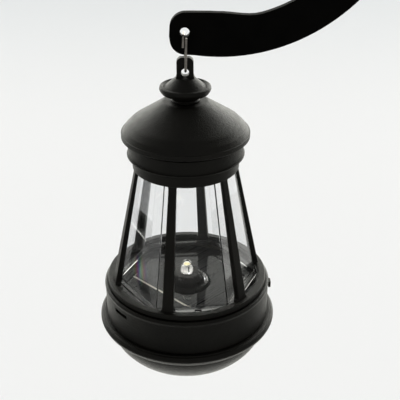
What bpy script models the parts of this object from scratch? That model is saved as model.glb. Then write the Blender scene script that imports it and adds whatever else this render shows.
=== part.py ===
"""Hanging solar garden lantern on its wall bracket, modelled as separate parts.

Sizes are in millimetres and become metres as each mesh is made. The lantern hangs straight
down. Its own heights start at the lowest point of its bowl, and its directions are angles
around its axis, 0 at the front (-Y) and 90 at the right (+X). The world origin is the
centre of the wall plate's back face, which presses on a wall that faces -X.
"""
import math

import bmesh
import bpy
from mathutils import Matrix, Vector

MM = 0.001
GAP = 0.3
SEGMENTS = 40
SMOOTH_ANGLE = math.radians(32)
CUTTER_REACH = 5.0

# Wall bracket: a flat arm that sweeps up to a plate.
ARM_THICK = 3.0
ARM_HOLE_R = 1.825
ARM_HOLE_Z = 159.0
ARM_CURVE_X = 14.0
ARM_CURVE_Z = 223.3
ARM_LOWER_R = 74.2
ARM_UPPER_R = 59.1
ARM_HEAD_EXTRA = 2.5
ARM_BLEND_END = 16.0
ARM_HEAD_LEFT = -6.2
ARM_HEAD_CORNER_R = 6.2
PLATE_BACK_X = 93.0
PLATE_THICK = 3.0
PLATE_WIDTH = 22.0
PLATE_HEIGHT = 60.0
PLATE_CENTRE_Z = 206.0
PLATE_HOLE_R = 2.25
PLATE_HOLE_SPACING = 44.0

# Hanging link: one bent wire whose two ends pass each other at the front.
WIRE_R = 0.5
LINK_HALF_WIDTH = 3.8
LINK_BEND_R = 1.9
LINK_END_SHIFT = 0.65
LINK_UPPER_END_Z = 153.5
LINK_LOWER_END_Z = 157.4

# Finial with its hanging tab.
TAB_WIDTH = 6.9
TAB_THICK = 3.2
TAB_TOP_Z = 148.7
TAB_CORNER_R = 2.0
TAB_HOLE_R = 1.6
TAB_HOLE_Z = 142.6
FINIAL_RIM_R = 10.7
FINIAL_RIM_Z = 135.15
FINIAL_NECK_R = 5.6
FINIAL_BASE_Z = 130.4
SPIGOT_R = 3.1
SPIGOT_BOTTOM_Z = 126.2

# Roof, collar and the upper hoop of the cage.
ROOF_TOP_Z = 130.1
ROOF_BRIM_R = 27.0
ROOF_BRIM_Z = 117.1
ROOF_BOTTOM_Z = 115.0
SNAP_LEG_COUNT = 3
SNAP_LEG_OUTER_R = 17.0
SNAP_RING_R = 17.5
COLLAR_R = 24.9
COLLAR_NECK_R = 23.9
COLLAR_TOP_Z = 114.7
COLLAR_STEP_Z = 113.6
COLLAR_BOTTOM_Z = 107.0
HOOP_R = 22.7
HOOP_TOP_Z = 106.7
HOOP_BOTTOM_Z = 101.2
HOOP_WALL = 1.6

# Ribs of the cage.
RIB_COUNT = 6
RIB_FIRST_ANGLE = -13.5
RIB_TOP_R = 22.4
RIB_FOOT_R = 33.9
RIB_TOP_WIDTH = 3.2
RIB_FOOT_WIDTH = 4.8
RIB_TOP_DEPTH = 1.5
RIB_FOOT_DEPTH = 2.8
RIB_FOOT_Z = 46.75

# Lower ring of the cage.
RING_R = 35.9
RING_OPENING_R = 32.8
RING_LIP_R = 31.9
RING_TOP_Z = 47.8
SKIRT_R = 35.0
SKIRT_INNER_R = 33.6
SKIRT_BOTTOM_Z = 39.6

# Latches: a hook on the skirt shows in a window of the wall.
LATCH_ANGLES = (-50.5, 129.5)
LATCH_Z = 40.4
WINDOW_WIDTH = 8.4
WINDOW_HEIGHT = 1.7

# Clear six-sided lens.
LENS_CORNER_ANGLE = -24.5
LENS_FOOT_R = 31.0
LENS_TOP_R = 20.4
LENS_TOP_Z = 103.0
LENS_WALL = 1.0
LENS_FLANGE_R = 33.3
LENS_FLANGE_BOTTOM_Z = 45.0
LENS_FLANGE_TOP_Z = 46.3

# Base: wall ring, tray, bowl.
WALL_R = 37.3
WALL_INNER_R = 35.3
WALL_BOTTOM_Z = 28.9
WALL_TOP_Z = 45.1
LEDGE_R = 32.6
LEDGE_BOTTOM_Z = 34.6
LEDGE_TOP_Z = 36.0
TRAY_R = 33.3
TRAY_RIM_R = 31.2
TRAY_RIM_TOP_Z = 43.6
DECK_BOTTOM_Z = 38.1
DECK_TOP_Z = 39.9
WELL_R = 7.7
WELL_RING_R = 9.9
WELL_RING_TOP_Z = 43.4
BEAD_R = 40.2
BEAD_Z = 27.5
BOWL_R = 36.5
BOWL_DEPTH = 24.0
BOWL_POWER = 1.05
BOWL_SPIGOT_R = 33.4
BAYONET_COUNT = 3
BAYONET_FIRST_ANGLE = 30.0

# Solar panel and lamp.
PANEL_R = 30.8
PANEL_HOLE_R = 11.0
PANEL_BOARD_Z = (40.2, 41.0)
PANEL_CELL_Z = (41.3, 41.5)
PANEL_COVER_Z = (41.8, 42.3)
HOLDER_R = 7.1
HOLDER_TOP_R = 5.6
HOLDER_TOP_Z = 47.0
LED_R = 2.4
LED_FLANGE_R = 2.9
LED_FLANGE_HEIGHT = 1.9
LED_BOTTOM_Z = 47.3
LED_TOP_Z = 53.4
LED_LEAD_SPACING = 2.54

# Circuit board, battery and switch.
BOARD_R = 24.0
BOARD_Z = (34.5, 36.1)
BOARD_SCREW_X = 14.0
BOARD_SCREW_Y = 16.0
CRADLE_SCREW_Y = 12.0
BATTERY_R = 7.1
BATTERY_LENGTH = 28.5
BATTERY_Z = 23.1
CRADLE_TOP_Z = 32.2
CRADLE_BOTTOM_Z = 20.0
CRADLE_WALL = 1.5
SPRING_LENGTH = 3.4
SWITCH_ANGLE = 92.0
SWITCH_Z = 40.0
SWITCH_TRAVEL = 2.0
SWITCH_BODY_OUTER_R = 34.6
KNOB_STEM = 1.8

BLACK_PLASTIC = (0.020, 0.019, 0.017)
CLEAR = (0.86, 0.89, 0.91)


# ---------------------------------------------------------------- scene and materials

def clear_scene():
    for obj in list(bpy.data.objects):
        bpy.data.objects.remove(obj, do_unlink=True)


def material(name, colour, roughness, metallic=0.0, transmission=0.0):
    """Return the Principled material of this name, made on first use."""
    found = bpy.data.materials.get(name)
    if found:
        return found
    made = bpy.data.materials.new(name)
    made.use_nodes = True
    shader = made.node_tree.nodes["Principled BSDF"]
    shader.inputs["Base Color"].default_value = (*colour, 1.0)
    shader.inputs["Roughness"].default_value = roughness
    shader.inputs["Metallic"].default_value = metallic
    shader.inputs["Transmission Weight"].default_value = transmission
    return made


def black_plastic():
    return material("black_plastic", BLACK_PLASTIC, 0.38)


def steel():
    return material("steel", (0.62, 0.62, 0.60), 0.28, metallic=1.0)


def nickel():
    return material("nickel_contact", (0.70, 0.68, 0.62), 0.30, metallic=1.0)


def clear_plastic():
    return material("clear_plastic", CLEAR, 0.04, transmission=1.0)


# ---------------------------------------------------------------- outlines

def polar(radius, angle):
    """X and Y at a radius and an angle from the front, positive towards +X."""
    turn = math.radians(angle)
    return radius * math.sin(turn), -radius * math.cos(turn)


def arc(centre, radius, start, end, steps):
    """Points along an arc of a circle, angles in degrees from the first axis."""
    points = []
    for i in range(steps + 1):
        turn = math.radians(start + (end - start) * i / steps)
        points.append((centre[0] + radius * math.cos(turn), centre[1] + radius * math.sin(turn)))
    return points


def rounded(corners, closed=True, steps=2):
    """Outline through (a, b) or (a, b, radius) corners, with an arc at each given radius."""
    points = []
    count = len(corners)
    for i, corner in enumerate(corners):
        here = Vector(corner[:2])
        radius = corner[2] if len(corner) > 2 else 0.0
        if radius == 0.0 or (not closed and i in (0, count - 1)):
            points.append(tuple(here))
            continue
        before = (Vector(corners[i - 1][:2]) - here).normalized()
        after = (Vector(corners[(i + 1) % count][:2]) - here).normalized()
        half = before.angle(after) / 2
        centre = here + (before + after).normalized() * (radius / math.sin(half))
        first = here + before * (radius / math.tan(half)) - centre
        last = here + after * (radius / math.tan(half)) - centre
        sweep = first.angle_signed(last)
        for k in range(steps + 1):
            points.append(tuple(centre + Matrix.Rotation(-sweep * k / steps, 2) @ first))
    return points


# ---------------------------------------------------------------- solids

def finish(name, bm, mat):
    """Turn a bmesh, in metres, into a smooth-shaded object."""
    bmesh.ops.recalc_face_normals(bm, faces=bm.faces)
    mesh = bpy.data.meshes.new(name)
    bm.to_mesh(mesh)
    bm.free()
    mesh.materials.append(mat)
    mesh.shade_smooth()
    mesh.set_sharp_from_angle(angle=SMOOTH_ANGLE)
    obj = bpy.data.objects.new(name, mesh)
    bpy.context.collection.objects.link(obj)
    return obj


def turned(name, outline, mat, segments=SEGMENTS):
    """Solid of revolution about Z from a closed (radius, height) outline."""
    bm = bmesh.new()
    verts = [bm.verts.new((r * MM, 0, z * MM)) for r, z in outline]
    edges = []
    for a, b in zip(verts, verts[1:] + verts[:1]):
        if a.co.x > 0 or b.co.x > 0:
            edges.append(bm.edges.new((a, b)))
    bmesh.ops.spin(bm, geom=verts + edges, axis=(0, 0, 1), cent=(0, 0, 0),
                   steps=segments, angle=math.tau, use_merge=True)
    bmesh.ops.remove_doubles(bm, verts=bm.verts, dist=1e-7)
    return finish(name, bm, mat)


def prism(name, outline, thick, mat):
    """Flat outline in X and Z, extruded to both sides along Y."""
    bm = bmesh.new()
    face = bm.faces.new([bm.verts.new((x * MM, -thick / 2 * MM, z * MM)) for x, z in outline])
    grown = bmesh.ops.extrude_face_region(bm, geom=[face])["geom"]
    moved = [item for item in grown if isinstance(item, bmesh.types.BMVert)]
    bmesh.ops.translate(bm, verts=moved, vec=(0, thick * MM, 0))
    return finish(name, bm, mat)


def block(name, x, y, z, mat):
    """Box between pairs of limits in X, Y and Z."""
    bm = bmesh.new()
    bmesh.ops.create_cube(bm, size=1.0)
    for vert in bm.verts:
        for axis, limits in enumerate((x, y, z)):
            vert.co[axis] = limits[0 if vert.co[axis] < 0 else 1] * MM
    return finish(name, bm, mat)


def side_block(name, radial, half_width, z, angle, mat, shift=0.0):
    """Box that faces out at an angle, with radial limits, and shift along the tangent."""
    obj = block(name, (shift - half_width, shift + half_width), (-radial[1], -radial[0]), z, mat)
    obj.data.transform(Matrix.Rotation(math.radians(angle), 4, "Z"))
    return obj


def rod(name, radius, z, mat, x=0.0, y=0.0, segments=12):
    """Upright round rod between two heights."""
    obj = turned(name, [(0, z[0]), (radius, z[0]), (radius, z[1]), (0, z[1])], mat, segments)
    obj.data.transform(Matrix.Translation((x * MM, y * MM, 0)))
    return obj


def cross_hole(name, radius, z, mat, segments):
    """Cutter for a hole along Y, through the lantern's axis at a height."""
    obj = rod(name, radius, (-CUTTER_REACH, CUTTER_REACH), mat, segments=segments)
    lying = Matrix.Rotation(math.radians(90), 4, "X")
    obj.data.transform(Matrix.Translation((0, 0, z * MM)) @ lying)
    return obj


def smooth_route(points, steps=3):
    """Catmull-Rom curve through 3-D points."""
    ends = [points[0]] + list(points) + [points[-1]]
    route = []
    for i in range(1, len(ends) - 2):
        a, b, c, d = (Vector(ends[k]) for k in (i - 1, i, i + 1, i + 2))
        for k in range(steps):
            t = k / steps
            route.append(0.5 * (2 * b + (c - a) * t + (2 * a - 5 * b + 4 * c - d) * t ** 2
                                + (3 * b - a - 3 * c + d) * t ** 3))
    route.append(Vector(points[-1]))
    return route


def tube(name, route, radius, mat, resolution=2):
    """Round wire along a route of 3-D points."""
    curve = bpy.data.curves.new(name, "CURVE")
    curve.dimensions = "3D"
    curve.bevel_depth = radius * MM
    curve.bevel_resolution = resolution
    curve.use_fill_caps = True
    spline = curve.splines.new("POLY")
    spline.points.add(len(route) - 1)
    for point, place in zip(spline.points, route):
        point.co = (*(Vector(place) * MM), 1.0)
    curve.materials.append(mat)
    obj = bpy.data.objects.new(name, curve)
    bpy.context.collection.objects.link(obj)
    return obj


def combine(target, tool, operation):
    """Apply a hidden tool object to a target with a Boolean modifier."""
    tool.hide_render = True
    tool.display_type = "WIRE"
    change = target.modifiers.new(tool.name, "BOOLEAN")
    change.operation = operation
    change.solver = "EXACT"
    change.object = tool


def join(target, *tools):
    for tool in tools:
        combine(target, tool, "UNION")


def cut(target, *tools):
    for tool in tools:
        combine(target, tool, "DIFFERENCE")


def screw(name, head_r, head_z, shank_r, tip_z, x=0.0, y=0.0):
    """Pan-head screw whose head is below its shank."""
    outline = rounded([(0, head_z[0]), (head_r, head_z[0], 0.4), (head_r, head_z[1]),
                       (shank_r, head_z[1]), (shank_r, tip_z), (0, tip_z)])
    obj = turned(name, outline, steel(), segments=12)
    obj.data.transform(Matrix.Translation((x * MM, y * MM, 0)))
    return obj


# ---------------------------------------------------------------- bracket and link

def arm_edge(radius, angle):
    """Point of the arm's edge, at an angle up from the bottom of its sweep."""
    turn = math.radians(angle)
    return ARM_CURVE_X + radius * math.sin(turn), ARM_CURVE_Z - radius * math.cos(turn)


def arm_upper_radius(angle):
    """The arm is taller at its head, and narrows smoothly into the sweep."""
    t = min(max((ARM_BLEND_END - angle) / ARM_BLEND_END, 0.0), 1.0)
    return ARM_UPPER_R - ARM_HEAD_EXTRA * t * t * (3 - 2 * t)


def arm_outline():
    plate_face_x = PLATE_BACK_X - PLATE_THICK
    inside_plate_x = plate_face_x + PLATE_THICK / 2
    lower = [arm_edge(ARM_LOWER_R, angle) for angle in range(-8, 63, 5)]
    upper = [arm_edge(arm_upper_radius(angle), angle) for angle in range(66, -5, -5)]
    root = [(inside_plate_x, lower[-1][1] + 6.0), (inside_plate_x, upper[0][1] + 9.0),
            (plate_face_x - 6.0, upper[0][1] + 8.0, 5.0)]
    head = [(2.0, 166.9, 3.0), (ARM_HEAD_LEFT + 0.6, 166.8, ARM_HEAD_CORNER_R),
            (ARM_HEAD_LEFT, 157.5, 2.0), (ARM_HEAD_LEFT + 1.0, 150.2, ARM_HEAD_CORNER_R)]
    return rounded(lower + root + upper + head, steps=6)


def build_bracket():
    powder = material("powder_coat", (0.006, 0.006, 0.006), 0.42)
    arm = prism("hanger_bracket", arm_outline(), ARM_THICK, powder)
    half_w = PLATE_WIDTH / 2
    half_h = PLATE_HEIGHT / 2
    corners = [(-half_w, -half_h, 3.0), (half_w, -half_h, 3.0),
               (half_w, half_h, 3.0), (-half_w, half_h, 3.0)]
    plate = prism("wall_plate_tool", rounded(corners), PLATE_THICK, powder)
    stand = Matrix.Rotation(math.radians(90), 4, "Z")
    place = Matrix.Translation(((PLATE_BACK_X - PLATE_THICK / 2) * MM, 0, PLATE_CENTRE_Z * MM))
    plate.data.transform(place @ stand)
    join(arm, plate)
    cut(arm, cross_hole("arm_hole_tool", ARM_HOLE_R, ARM_HOLE_Z, powder, segments=32))
    for i, side in enumerate((-1, 1)):
        fixing = rod(f"plate_hole_tool_{i}", PLATE_HOLE_R, (-CUTTER_REACH, CUTTER_REACH), powder,
                     segments=24)
        centre = ((PLATE_BACK_X - PLATE_THICK / 2) * MM, 0,
                  (PLATE_CENTRE_Z + side * PLATE_HOLE_SPACING / 2) * MM)
        fixing.data.transform(Matrix.Translation(centre) @ Matrix.Rotation(math.radians(90), 4, "Y"))
        cut(arm, fixing)


def link_top_z():
    return ARM_HOLE_Z - ARM_HOLE_R + WIRE_R + GAP


def link_bottom_z():
    return TAB_HOLE_Z + TAB_HOLE_R - WIRE_R - GAP


def build_link():
    """The wire climbs sideways along its length, so that its two ends lie side by side."""
    w = LINK_HALF_WIDTH
    flat = rounded([(-w, LINK_UPPER_END_Z), (-w, link_top_z(), LINK_BEND_R),
                    (w, link_top_z(), LINK_BEND_R), (w, link_bottom_z(), LINK_BEND_R),
                    (-w, link_bottom_z(), LINK_BEND_R), (-w, LINK_LOWER_END_Z)],
                   closed=False, steps=6)
    lengths = [0.0]
    for a, b in zip(flat, flat[1:]):
        lengths.append(lengths[-1] + math.dist(a, b))
    route = []
    for (y, z), along in zip(flat, lengths):
        x = LINK_END_SHIFT * (2 * along / lengths[-1] - 1)
        route.append((x, y, z))
    tube("hanging_link", route, WIRE_R, steel())


# ---------------------------------------------------------------- finial, roof, collar

def build_finial():
    outline = rounded([
        (0, 134.0), (0.95, 134.0), (0.95, SPIGOT_BOTTOM_Z), (SPIGOT_R, SPIGOT_BOTTOM_Z),
        (SPIGOT_R, FINIAL_BASE_Z), (FINIAL_NECK_R - 0.1, FINIAL_BASE_Z),
        (FINIAL_NECK_R, FINIAL_BASE_Z + 1.3, 1.5), (FINIAL_RIM_R - 0.9, FINIAL_RIM_Z - 1.9),
        (FINIAL_RIM_R, FINIAL_RIM_Z - 0.5, 0.5), (FINIAL_RIM_R, FINIAL_RIM_Z + 0.5, 0.5),
        (FINIAL_RIM_R - 0.8, FINIAL_RIM_Z + 1.6, 0.4), (4.2, 140.2, 1.5), (2.4, 140.9), (0, 140.9)])
    finial = turned("finial", outline, black_plastic(), segments=32)
    half = TAB_WIDTH / 2
    tab_outline = rounded([(-half, FINIAL_RIM_Z + 1.0), (half, FINIAL_RIM_Z + 1.0),
                           (half, TAB_TOP_Z, TAB_CORNER_R), (-half, TAB_TOP_Z, TAB_CORNER_R)])
    tab = prism("tab_tool", tab_outline, TAB_THICK, black_plastic())
    join(finial, tab)
    cut(finial, cross_hole("tab_hole_tool", TAB_HOLE_R, TAB_HOLE_Z, black_plastic(), segments=24))
    top = SPIGOT_BOTTOM_Z - GAP
    turned("finial_washer", [(1.1, top - 0.8), (4.6, top - 0.8), (4.6, top), (1.1, top)],
           steel(), segments=20)
    screw("finial_screw", 2.6, (top - 0.8 - GAP - 1.6, top - 0.8 - GAP), 0.75, 133.0)


def build_roof():
    outline = rounded([
        (SPIGOT_R + GAP, ROOF_TOP_Z), (9.3, ROOF_TOP_Z + 0.3, 2.5), (22.8, 121.6, 8.0),
        (25.3, 119.1, 2.0), (ROOF_BRIM_R, ROOF_BRIM_Z, 0.5), (ROOF_BRIM_R - 0.1, ROOF_BOTTOM_Z),
        (24.4, ROOF_BOTTOM_Z), (21.1, 118.9, 2.0), (SNAP_LEG_OUTER_R + 0.2, 121.9),
        (SNAP_LEG_OUTER_R + 0.2, 113.0), (SNAP_LEG_OUTER_R - 1.4, 113.0),
        (SNAP_LEG_OUTER_R - 1.4, 122.9), (9.0, 127.4), (6.5, SPIGOT_BOTTOM_Z + 0.2),
        (SPIGOT_R + GAP, SPIGOT_BOTTOM_Z + 0.2)])
    roof = turned("roof", outline, black_plastic())
    for i in range(SNAP_LEG_COUNT):
        angle = 360 / SNAP_LEG_COUNT * i
        leg = side_block(f"snap_leg_tool_{i}", (SNAP_LEG_OUTER_R - 1.2, SNAP_LEG_OUTER_R), 2.5,
                         (104.1, 114.0), angle, black_plastic())
        nose = side_block(f"snap_nose_tool_{i}", (SNAP_LEG_OUTER_R - 0.5, SNAP_LEG_OUTER_R + 1.2), 2.5,
                          (104.1, 105.1), angle, black_plastic())
        join(roof, leg, nose)
    turned("collar", rounded([
        (SNAP_RING_R, COLLAR_BOTTOM_Z), (COLLAR_R, COLLAR_BOTTOM_Z, 0.3), (COLLAR_R, COLLAR_STEP_Z, 0.4),
        (COLLAR_NECK_R, COLLAR_STEP_Z), (COLLAR_NECK_R, COLLAR_TOP_Z), (COLLAR_NECK_R - 1.2, COLLAR_TOP_Z),
        (COLLAR_NECK_R - 1.2, COLLAR_BOTTOM_Z + 1.2),
        (SNAP_RING_R, COLLAR_BOTTOM_Z + 1.2)]), black_plastic())


# ---------------------------------------------------------------- cage

def rib_mesh(bm, angle):
    """One slanted rib, wider and deeper at its foot."""
    slope = (RIB_FOOT_R - RIB_TOP_R) / (HOOP_BOTTOM_Z - 47.0)
    corners = []
    for z, share in ((RIB_FOOT_Z, 0.0), (HOOP_BOTTOM_Z + 2.5, 1.0)):
        outer = RIB_TOP_R + (HOOP_BOTTOM_Z - z) * slope
        half = (RIB_FOOT_WIDTH + (RIB_TOP_WIDTH - RIB_FOOT_WIDTH) * share) / 2
        inner = outer - (RIB_FOOT_DEPTH + (RIB_TOP_DEPTH - RIB_FOOT_DEPTH) * share)
        for radius, side in ((outer, -1), (outer, 1), (inner, 1), (inner, -1)):
            corners.append(bm.verts.new((side * half * MM, -radius * MM, z * MM)))
    low, high = corners[:4], corners[4:]
    bm.faces.new(low)
    bm.faces.new(high)
    for i in range(4):
        k = (i + 1) % 4
        bm.faces.new((low[i], low[k], high[k], high[i]))
    bmesh.ops.rotate(bm, verts=corners, matrix=Matrix.Rotation(math.radians(angle), 3, "Z"))


def build_cage():
    plastic = black_plastic()
    cage = turned("cage", rounded([
        (HOOP_R - HOOP_WALL, HOOP_BOTTOM_Z), (HOOP_R, HOOP_BOTTOM_Z, 0.4), (HOOP_R, HOOP_TOP_Z),
        (SNAP_RING_R, HOOP_TOP_Z), (SNAP_RING_R, HOOP_TOP_Z - 1.2),
        (HOOP_R - HOOP_WALL, HOOP_TOP_Z - 1.2)]), plastic)
    ring = turned("ring_tool", rounded([
        (SKIRT_INNER_R, SKIRT_BOTTOM_Z), (SKIRT_R, SKIRT_BOTTOM_Z), (SKIRT_R, 45.4),
        (RING_R, 45.4, 0.3), (RING_R, RING_TOP_Z, 0.5), (RING_OPENING_R, RING_TOP_Z, 0.2),
        (RING_OPENING_R, 47.25), (RING_LIP_R, 47.25), (RING_LIP_R, 46.6),
        (SKIRT_INNER_R, 46.6)]), plastic)
    bm = bmesh.new()
    for i in range(RIB_COUNT):
        rib_mesh(bm, RIB_FIRST_ANGLE + 360 / RIB_COUNT * i)
    ribs = finish("ribs_tool", bm, plastic)
    join(cage, ribs, ring)
    for i, angle in enumerate(LATCH_ANGLES):
        height = WINDOW_HEIGHT - 2 * GAP
        hook = side_block(f"hook_tool_{i}", (SKIRT_R - 0.6, 36.0), WINDOW_WIDTH / 2 - GAP,
                          (LATCH_Z - height / 2, LATCH_Z + height / 2), angle, plastic)
        join(cage, hook)
    cut(cage, switch_pocket("cage_pocket_tool"))


def switch_pocket(name):
    """Space for the switch, cut out of the skirt and of the tray's rim."""
    return side_block(name, (31.0, 36.0), 5.2, (33.0, 42.4), SWITCH_ANGLE, black_plastic())


# ---------------------------------------------------------------- lens

def hexagon_radius(offset, corner_r, trim):
    """Radius of a hexagon at an offset in degrees from a corner, with its corners trimmed round."""
    apothem = corner_r * math.cos(math.radians(30))
    flat = apothem / math.cos(math.radians(offset % 60 - 30))
    return min(flat, corner_r - trim)


def build_lens():
    """Loops of the same directions: outside up, over the closed top, and down the inside."""
    offsets = (0, 2.5, 5, 12, 21, 30, 39, 48, 55, 57.5)
    taper = (LENS_FOOT_R - LENS_TOP_R) / (LENS_TOP_Z - LENS_FLANGE_TOP_Z)
    inner_foot_r = LENS_FOOT_R - LENS_WALL * 1.15 + taper * (LENS_FLANGE_TOP_Z - LENS_FLANGE_BOTTOM_Z)
    inner_top_z = LENS_TOP_Z - LENS_WALL
    inner_top_r = LENS_TOP_R - LENS_WALL * 1.15 + taper * LENS_WALL
    loops = [(LENS_FLANGE_R, LENS_FLANGE_BOTTOM_Z, None), (LENS_FLANGE_R, LENS_FLANGE_TOP_Z, None),
             (LENS_FOOT_R, LENS_FLANGE_TOP_Z, 0.35), (LENS_TOP_R, LENS_TOP_Z, 0.35),
             (inner_top_r, inner_top_z, 0.2), (inner_foot_r, LENS_FLANGE_BOTTOM_Z, 0.2)]
    bm = bmesh.new()
    rings = []
    for radius, z, trim in loops:
        ring = []
        for corner in range(6):
            for offset in offsets:
                r = radius if trim is None else hexagon_radius(offset, radius, trim)
                x, y = polar(r, LENS_CORNER_ANGLE + corner * 60 + offset)
                ring.append(bm.verts.new((x * MM, y * MM, z * MM)))
        rings.append(ring)
    bridges = [(0, 1), (1, 2), (2, 3), (4, 5), (5, 0)]
    for a, b in bridges:
        for i in range(len(rings[a])):
            k = (i + 1) % len(rings[a])
            bm.faces.new((rings[a][i], rings[a][k], rings[b][k], rings[b][i]))
    bm.faces.new(rings[3])
    bm.faces.new(rings[4])
    finish("lens", bm, clear_plastic())
    rubber = material("seal_rubber", (0.03, 0.03, 0.03), 0.75)
    low = TRAY_RIM_TOP_Z + GAP
    high = LENS_FLANGE_BOTTOM_Z - GAP
    turned("lens_seal", [(31.4, low), (33.1, low), (33.1, high), (31.4, high)], rubber)


# ---------------------------------------------------------------- base

def bayonet_angles():
    return [BAYONET_FIRST_ANGLE + 360 / BAYONET_COUNT * i for i in range(BAYONET_COUNT)]


def build_wall():
    plastic = black_plastic()
    wall = turned("base_wall", rounded([
        (WALL_INNER_R, WALL_BOTTOM_Z), (WALL_R, WALL_BOTTOM_Z), (WALL_R, 43.2),
        (WALL_R + 0.3, 44.4, 0.6), (36.5, WALL_TOP_Z, 0.4), (35.9, WALL_TOP_Z),
        (WALL_INNER_R, 44.4), (WALL_INNER_R, LEDGE_TOP_Z), (LEDGE_R, LEDGE_TOP_Z),
        (LEDGE_R, LEDGE_BOTTOM_Z), (WALL_INNER_R, LEDGE_BOTTOM_Z)]), plastic)
    for i, angle in enumerate(bayonet_angles()):
        join(wall, side_block(f"wall_lug_tool_{i}", (33.8, WALL_INNER_R + 0.5), 4.0,
                              (30.5, 31.6), angle, plastic))
    for i, angle in enumerate(LATCH_ANGLES):
        cut(wall, side_block(f"window_tool_{i}", (34.0, 39.0), WINDOW_WIDTH / 2,
                             (LATCH_Z - WINDOW_HEIGHT / 2, LATCH_Z + WINDOW_HEIGHT / 2), angle, plastic))
    half_slot = (KNOB_STEM + SWITCH_TRAVEL) / 2 + GAP
    half_tall = KNOB_STEM / 2 + GAP
    cut(wall, side_block("switch_slot_tool", (34.0, 39.0), half_slot,
                         (SWITCH_Z - half_tall, SWITCH_Z + half_tall), SWITCH_ANGLE, plastic,
                         shift=SWITCH_TRAVEL / 2))


def boss_places():
    """X, Y and bottom height of the tray's screw bosses."""
    places = []
    for side in (-1, 1):
        places.append((0.0, side * CRADLE_SCREW_Y, CRADLE_TOP_Z + GAP))
        for end in (-1, 1):
            places.append((end * BOARD_SCREW_X, side * BOARD_SCREW_Y, BOARD_Z[1] + GAP))
    return places


def build_tray():
    plastic = black_plastic()
    tray = turned("panel_tray", rounded([
        (2.6, DECK_BOTTOM_Z), (TRAY_RIM_R, DECK_BOTTOM_Z), (TRAY_RIM_R, LEDGE_TOP_Z + GAP),
        (TRAY_R, LEDGE_TOP_Z + GAP), (TRAY_R, TRAY_RIM_TOP_Z), (TRAY_RIM_R, TRAY_RIM_TOP_Z),
        (TRAY_RIM_R, DECK_TOP_Z), (WELL_RING_R, DECK_TOP_Z), (WELL_RING_R, WELL_RING_TOP_Z, 0.4),
        (WELL_R, WELL_RING_TOP_Z, 0.5), (WELL_R, DECK_TOP_Z), (2.6, DECK_TOP_Z)]), plastic)
    for i, (x, y, low) in enumerate(boss_places()):
        join(tray, rod(f"boss_tool_{i}", 2.4, (low, DECK_BOTTOM_Z + 0.8), plastic, x, y))
        cut(tray, rod(f"boss_hole_tool_{i}", 1.15, (low - 1, DECK_BOTTOM_Z + 0.6), plastic, x, y, 10))
    for i, side in enumerate((-1, 1)):
        cut(tray, rod(f"lead_hole_tool_{i}", 1.2, (DECK_BOTTOM_Z - 1, DECK_TOP_Z + 1), plastic,
                      18.0, side * 4.0, 12))
    cut(tray, switch_pocket("tray_pocket_tool"))


def bowl_curve(radius, depth, bottom, angles):
    """Points of the bowl's section, a little leaner than an ellipse, from 0 at its bottom."""
    points = []
    for angle in angles:
        out = math.sin(math.radians(angle)) ** BOWL_POWER
        down = max(math.cos(math.radians(angle)), 0.0) ** BOWL_POWER
        points.append((radius * out, bottom + depth * (1 - down)))
    return points


def build_bowl():
    plastic = black_plastic()
    outside = bowl_curve(BOWL_R, BOWL_DEPTH, 0.0, range(0, 88, 8))
    inside = bowl_curve(BOWL_R - 2.9, BOWL_DEPTH - 1.5, 2.0, range(90, -1, -15))
    rim = rounded([
        outside[-1], (BOWL_R + 0.1, 23.4, 0.4), (38.7, 24.2, 0.7), (BEAD_R, BEAD_Z - 1.2, 0.8),
        (BEAD_R, BEAD_Z - 0.4, 0.6), (39.3, 28.2, 0.5), (38.4, 28.6),
        (BOWL_SPIGOT_R, 28.6), (BOWL_SPIGOT_R, 33.6),
        (BOWL_SPIGOT_R - 1.6, 33.6), (BOWL_SPIGOT_R - 1.6, 27.6), inside[0]], closed=False)
    bowl = turned("base_bowl", outside[:-1] + rim[:-1] + inside, plastic)
    for i, angle in enumerate(bayonet_angles()):
        join(bowl, side_block(f"bowl_lug_tool_{i}", (BOWL_SPIGOT_R - 0.6, 34.8), 4.0,
                              (31.9, 33.1), angle, plastic))
    rubber = material("seal_rubber", (0.03, 0.03, 0.03), 0.75)
    turned("bowl_seal", arc((34.35, 28.6 + GAP + 0.6), 0.6, 0, 300, 5), rubber)


# ---------------------------------------------------------------- panel, lamp, electronics

def build_panel():
    board = material("panel_board", (0.04, 0.10, 0.05), 0.5)
    cell = material("solar_cell", (0.012, 0.014, 0.022), 0.25)
    layers = (("panel_board", PANEL_BOARD_Z, board), ("solar_cell", PANEL_CELL_Z, cell),
              ("panel_cover", PANEL_COVER_Z, clear_plastic()))
    for name, (low, high), mat in layers:
        turned(name, [(PANEL_HOLE_R, low), (PANEL_R, low), (PANEL_R, high), (PANEL_HOLE_R, high)], mat)


def build_lamp():
    plastic = black_plastic()
    turned("led_holder", rounded([
        (2.3, DECK_TOP_Z + GAP), (HOLDER_R, DECK_TOP_Z + GAP), (HOLDER_R, 44.9, 0.3),
        (HOLDER_TOP_R, HOLDER_TOP_Z, 0.3), (2.3, HOLDER_TOP_Z)]), plastic, segments=24)
    dome = arc((0, LED_TOP_Z - LED_R), LED_R, 0, 90, 6)
    dome[-1] = (0.0, LED_TOP_Z)
    shoulder = LED_BOTTOM_Z + LED_FLANGE_HEIGHT
    outline = [(0, LED_BOTTOM_Z), (LED_FLANGE_R, LED_BOTTOM_Z), (LED_FLANGE_R, shoulder),
               (LED_R, shoulder + 0.6)] + dome
    turned("led", outline, clear_plastic(), segments=24)
    for name, side in (("led_lead_long", -1), ("led_lead_short", 1)):
        rod(name, 0.25, (BOARD_Z[1] + GAP, LED_BOTTOM_Z - GAP), nickel(),
            side * LED_LEAD_SPACING / 2, 0.0, 8)


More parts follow.
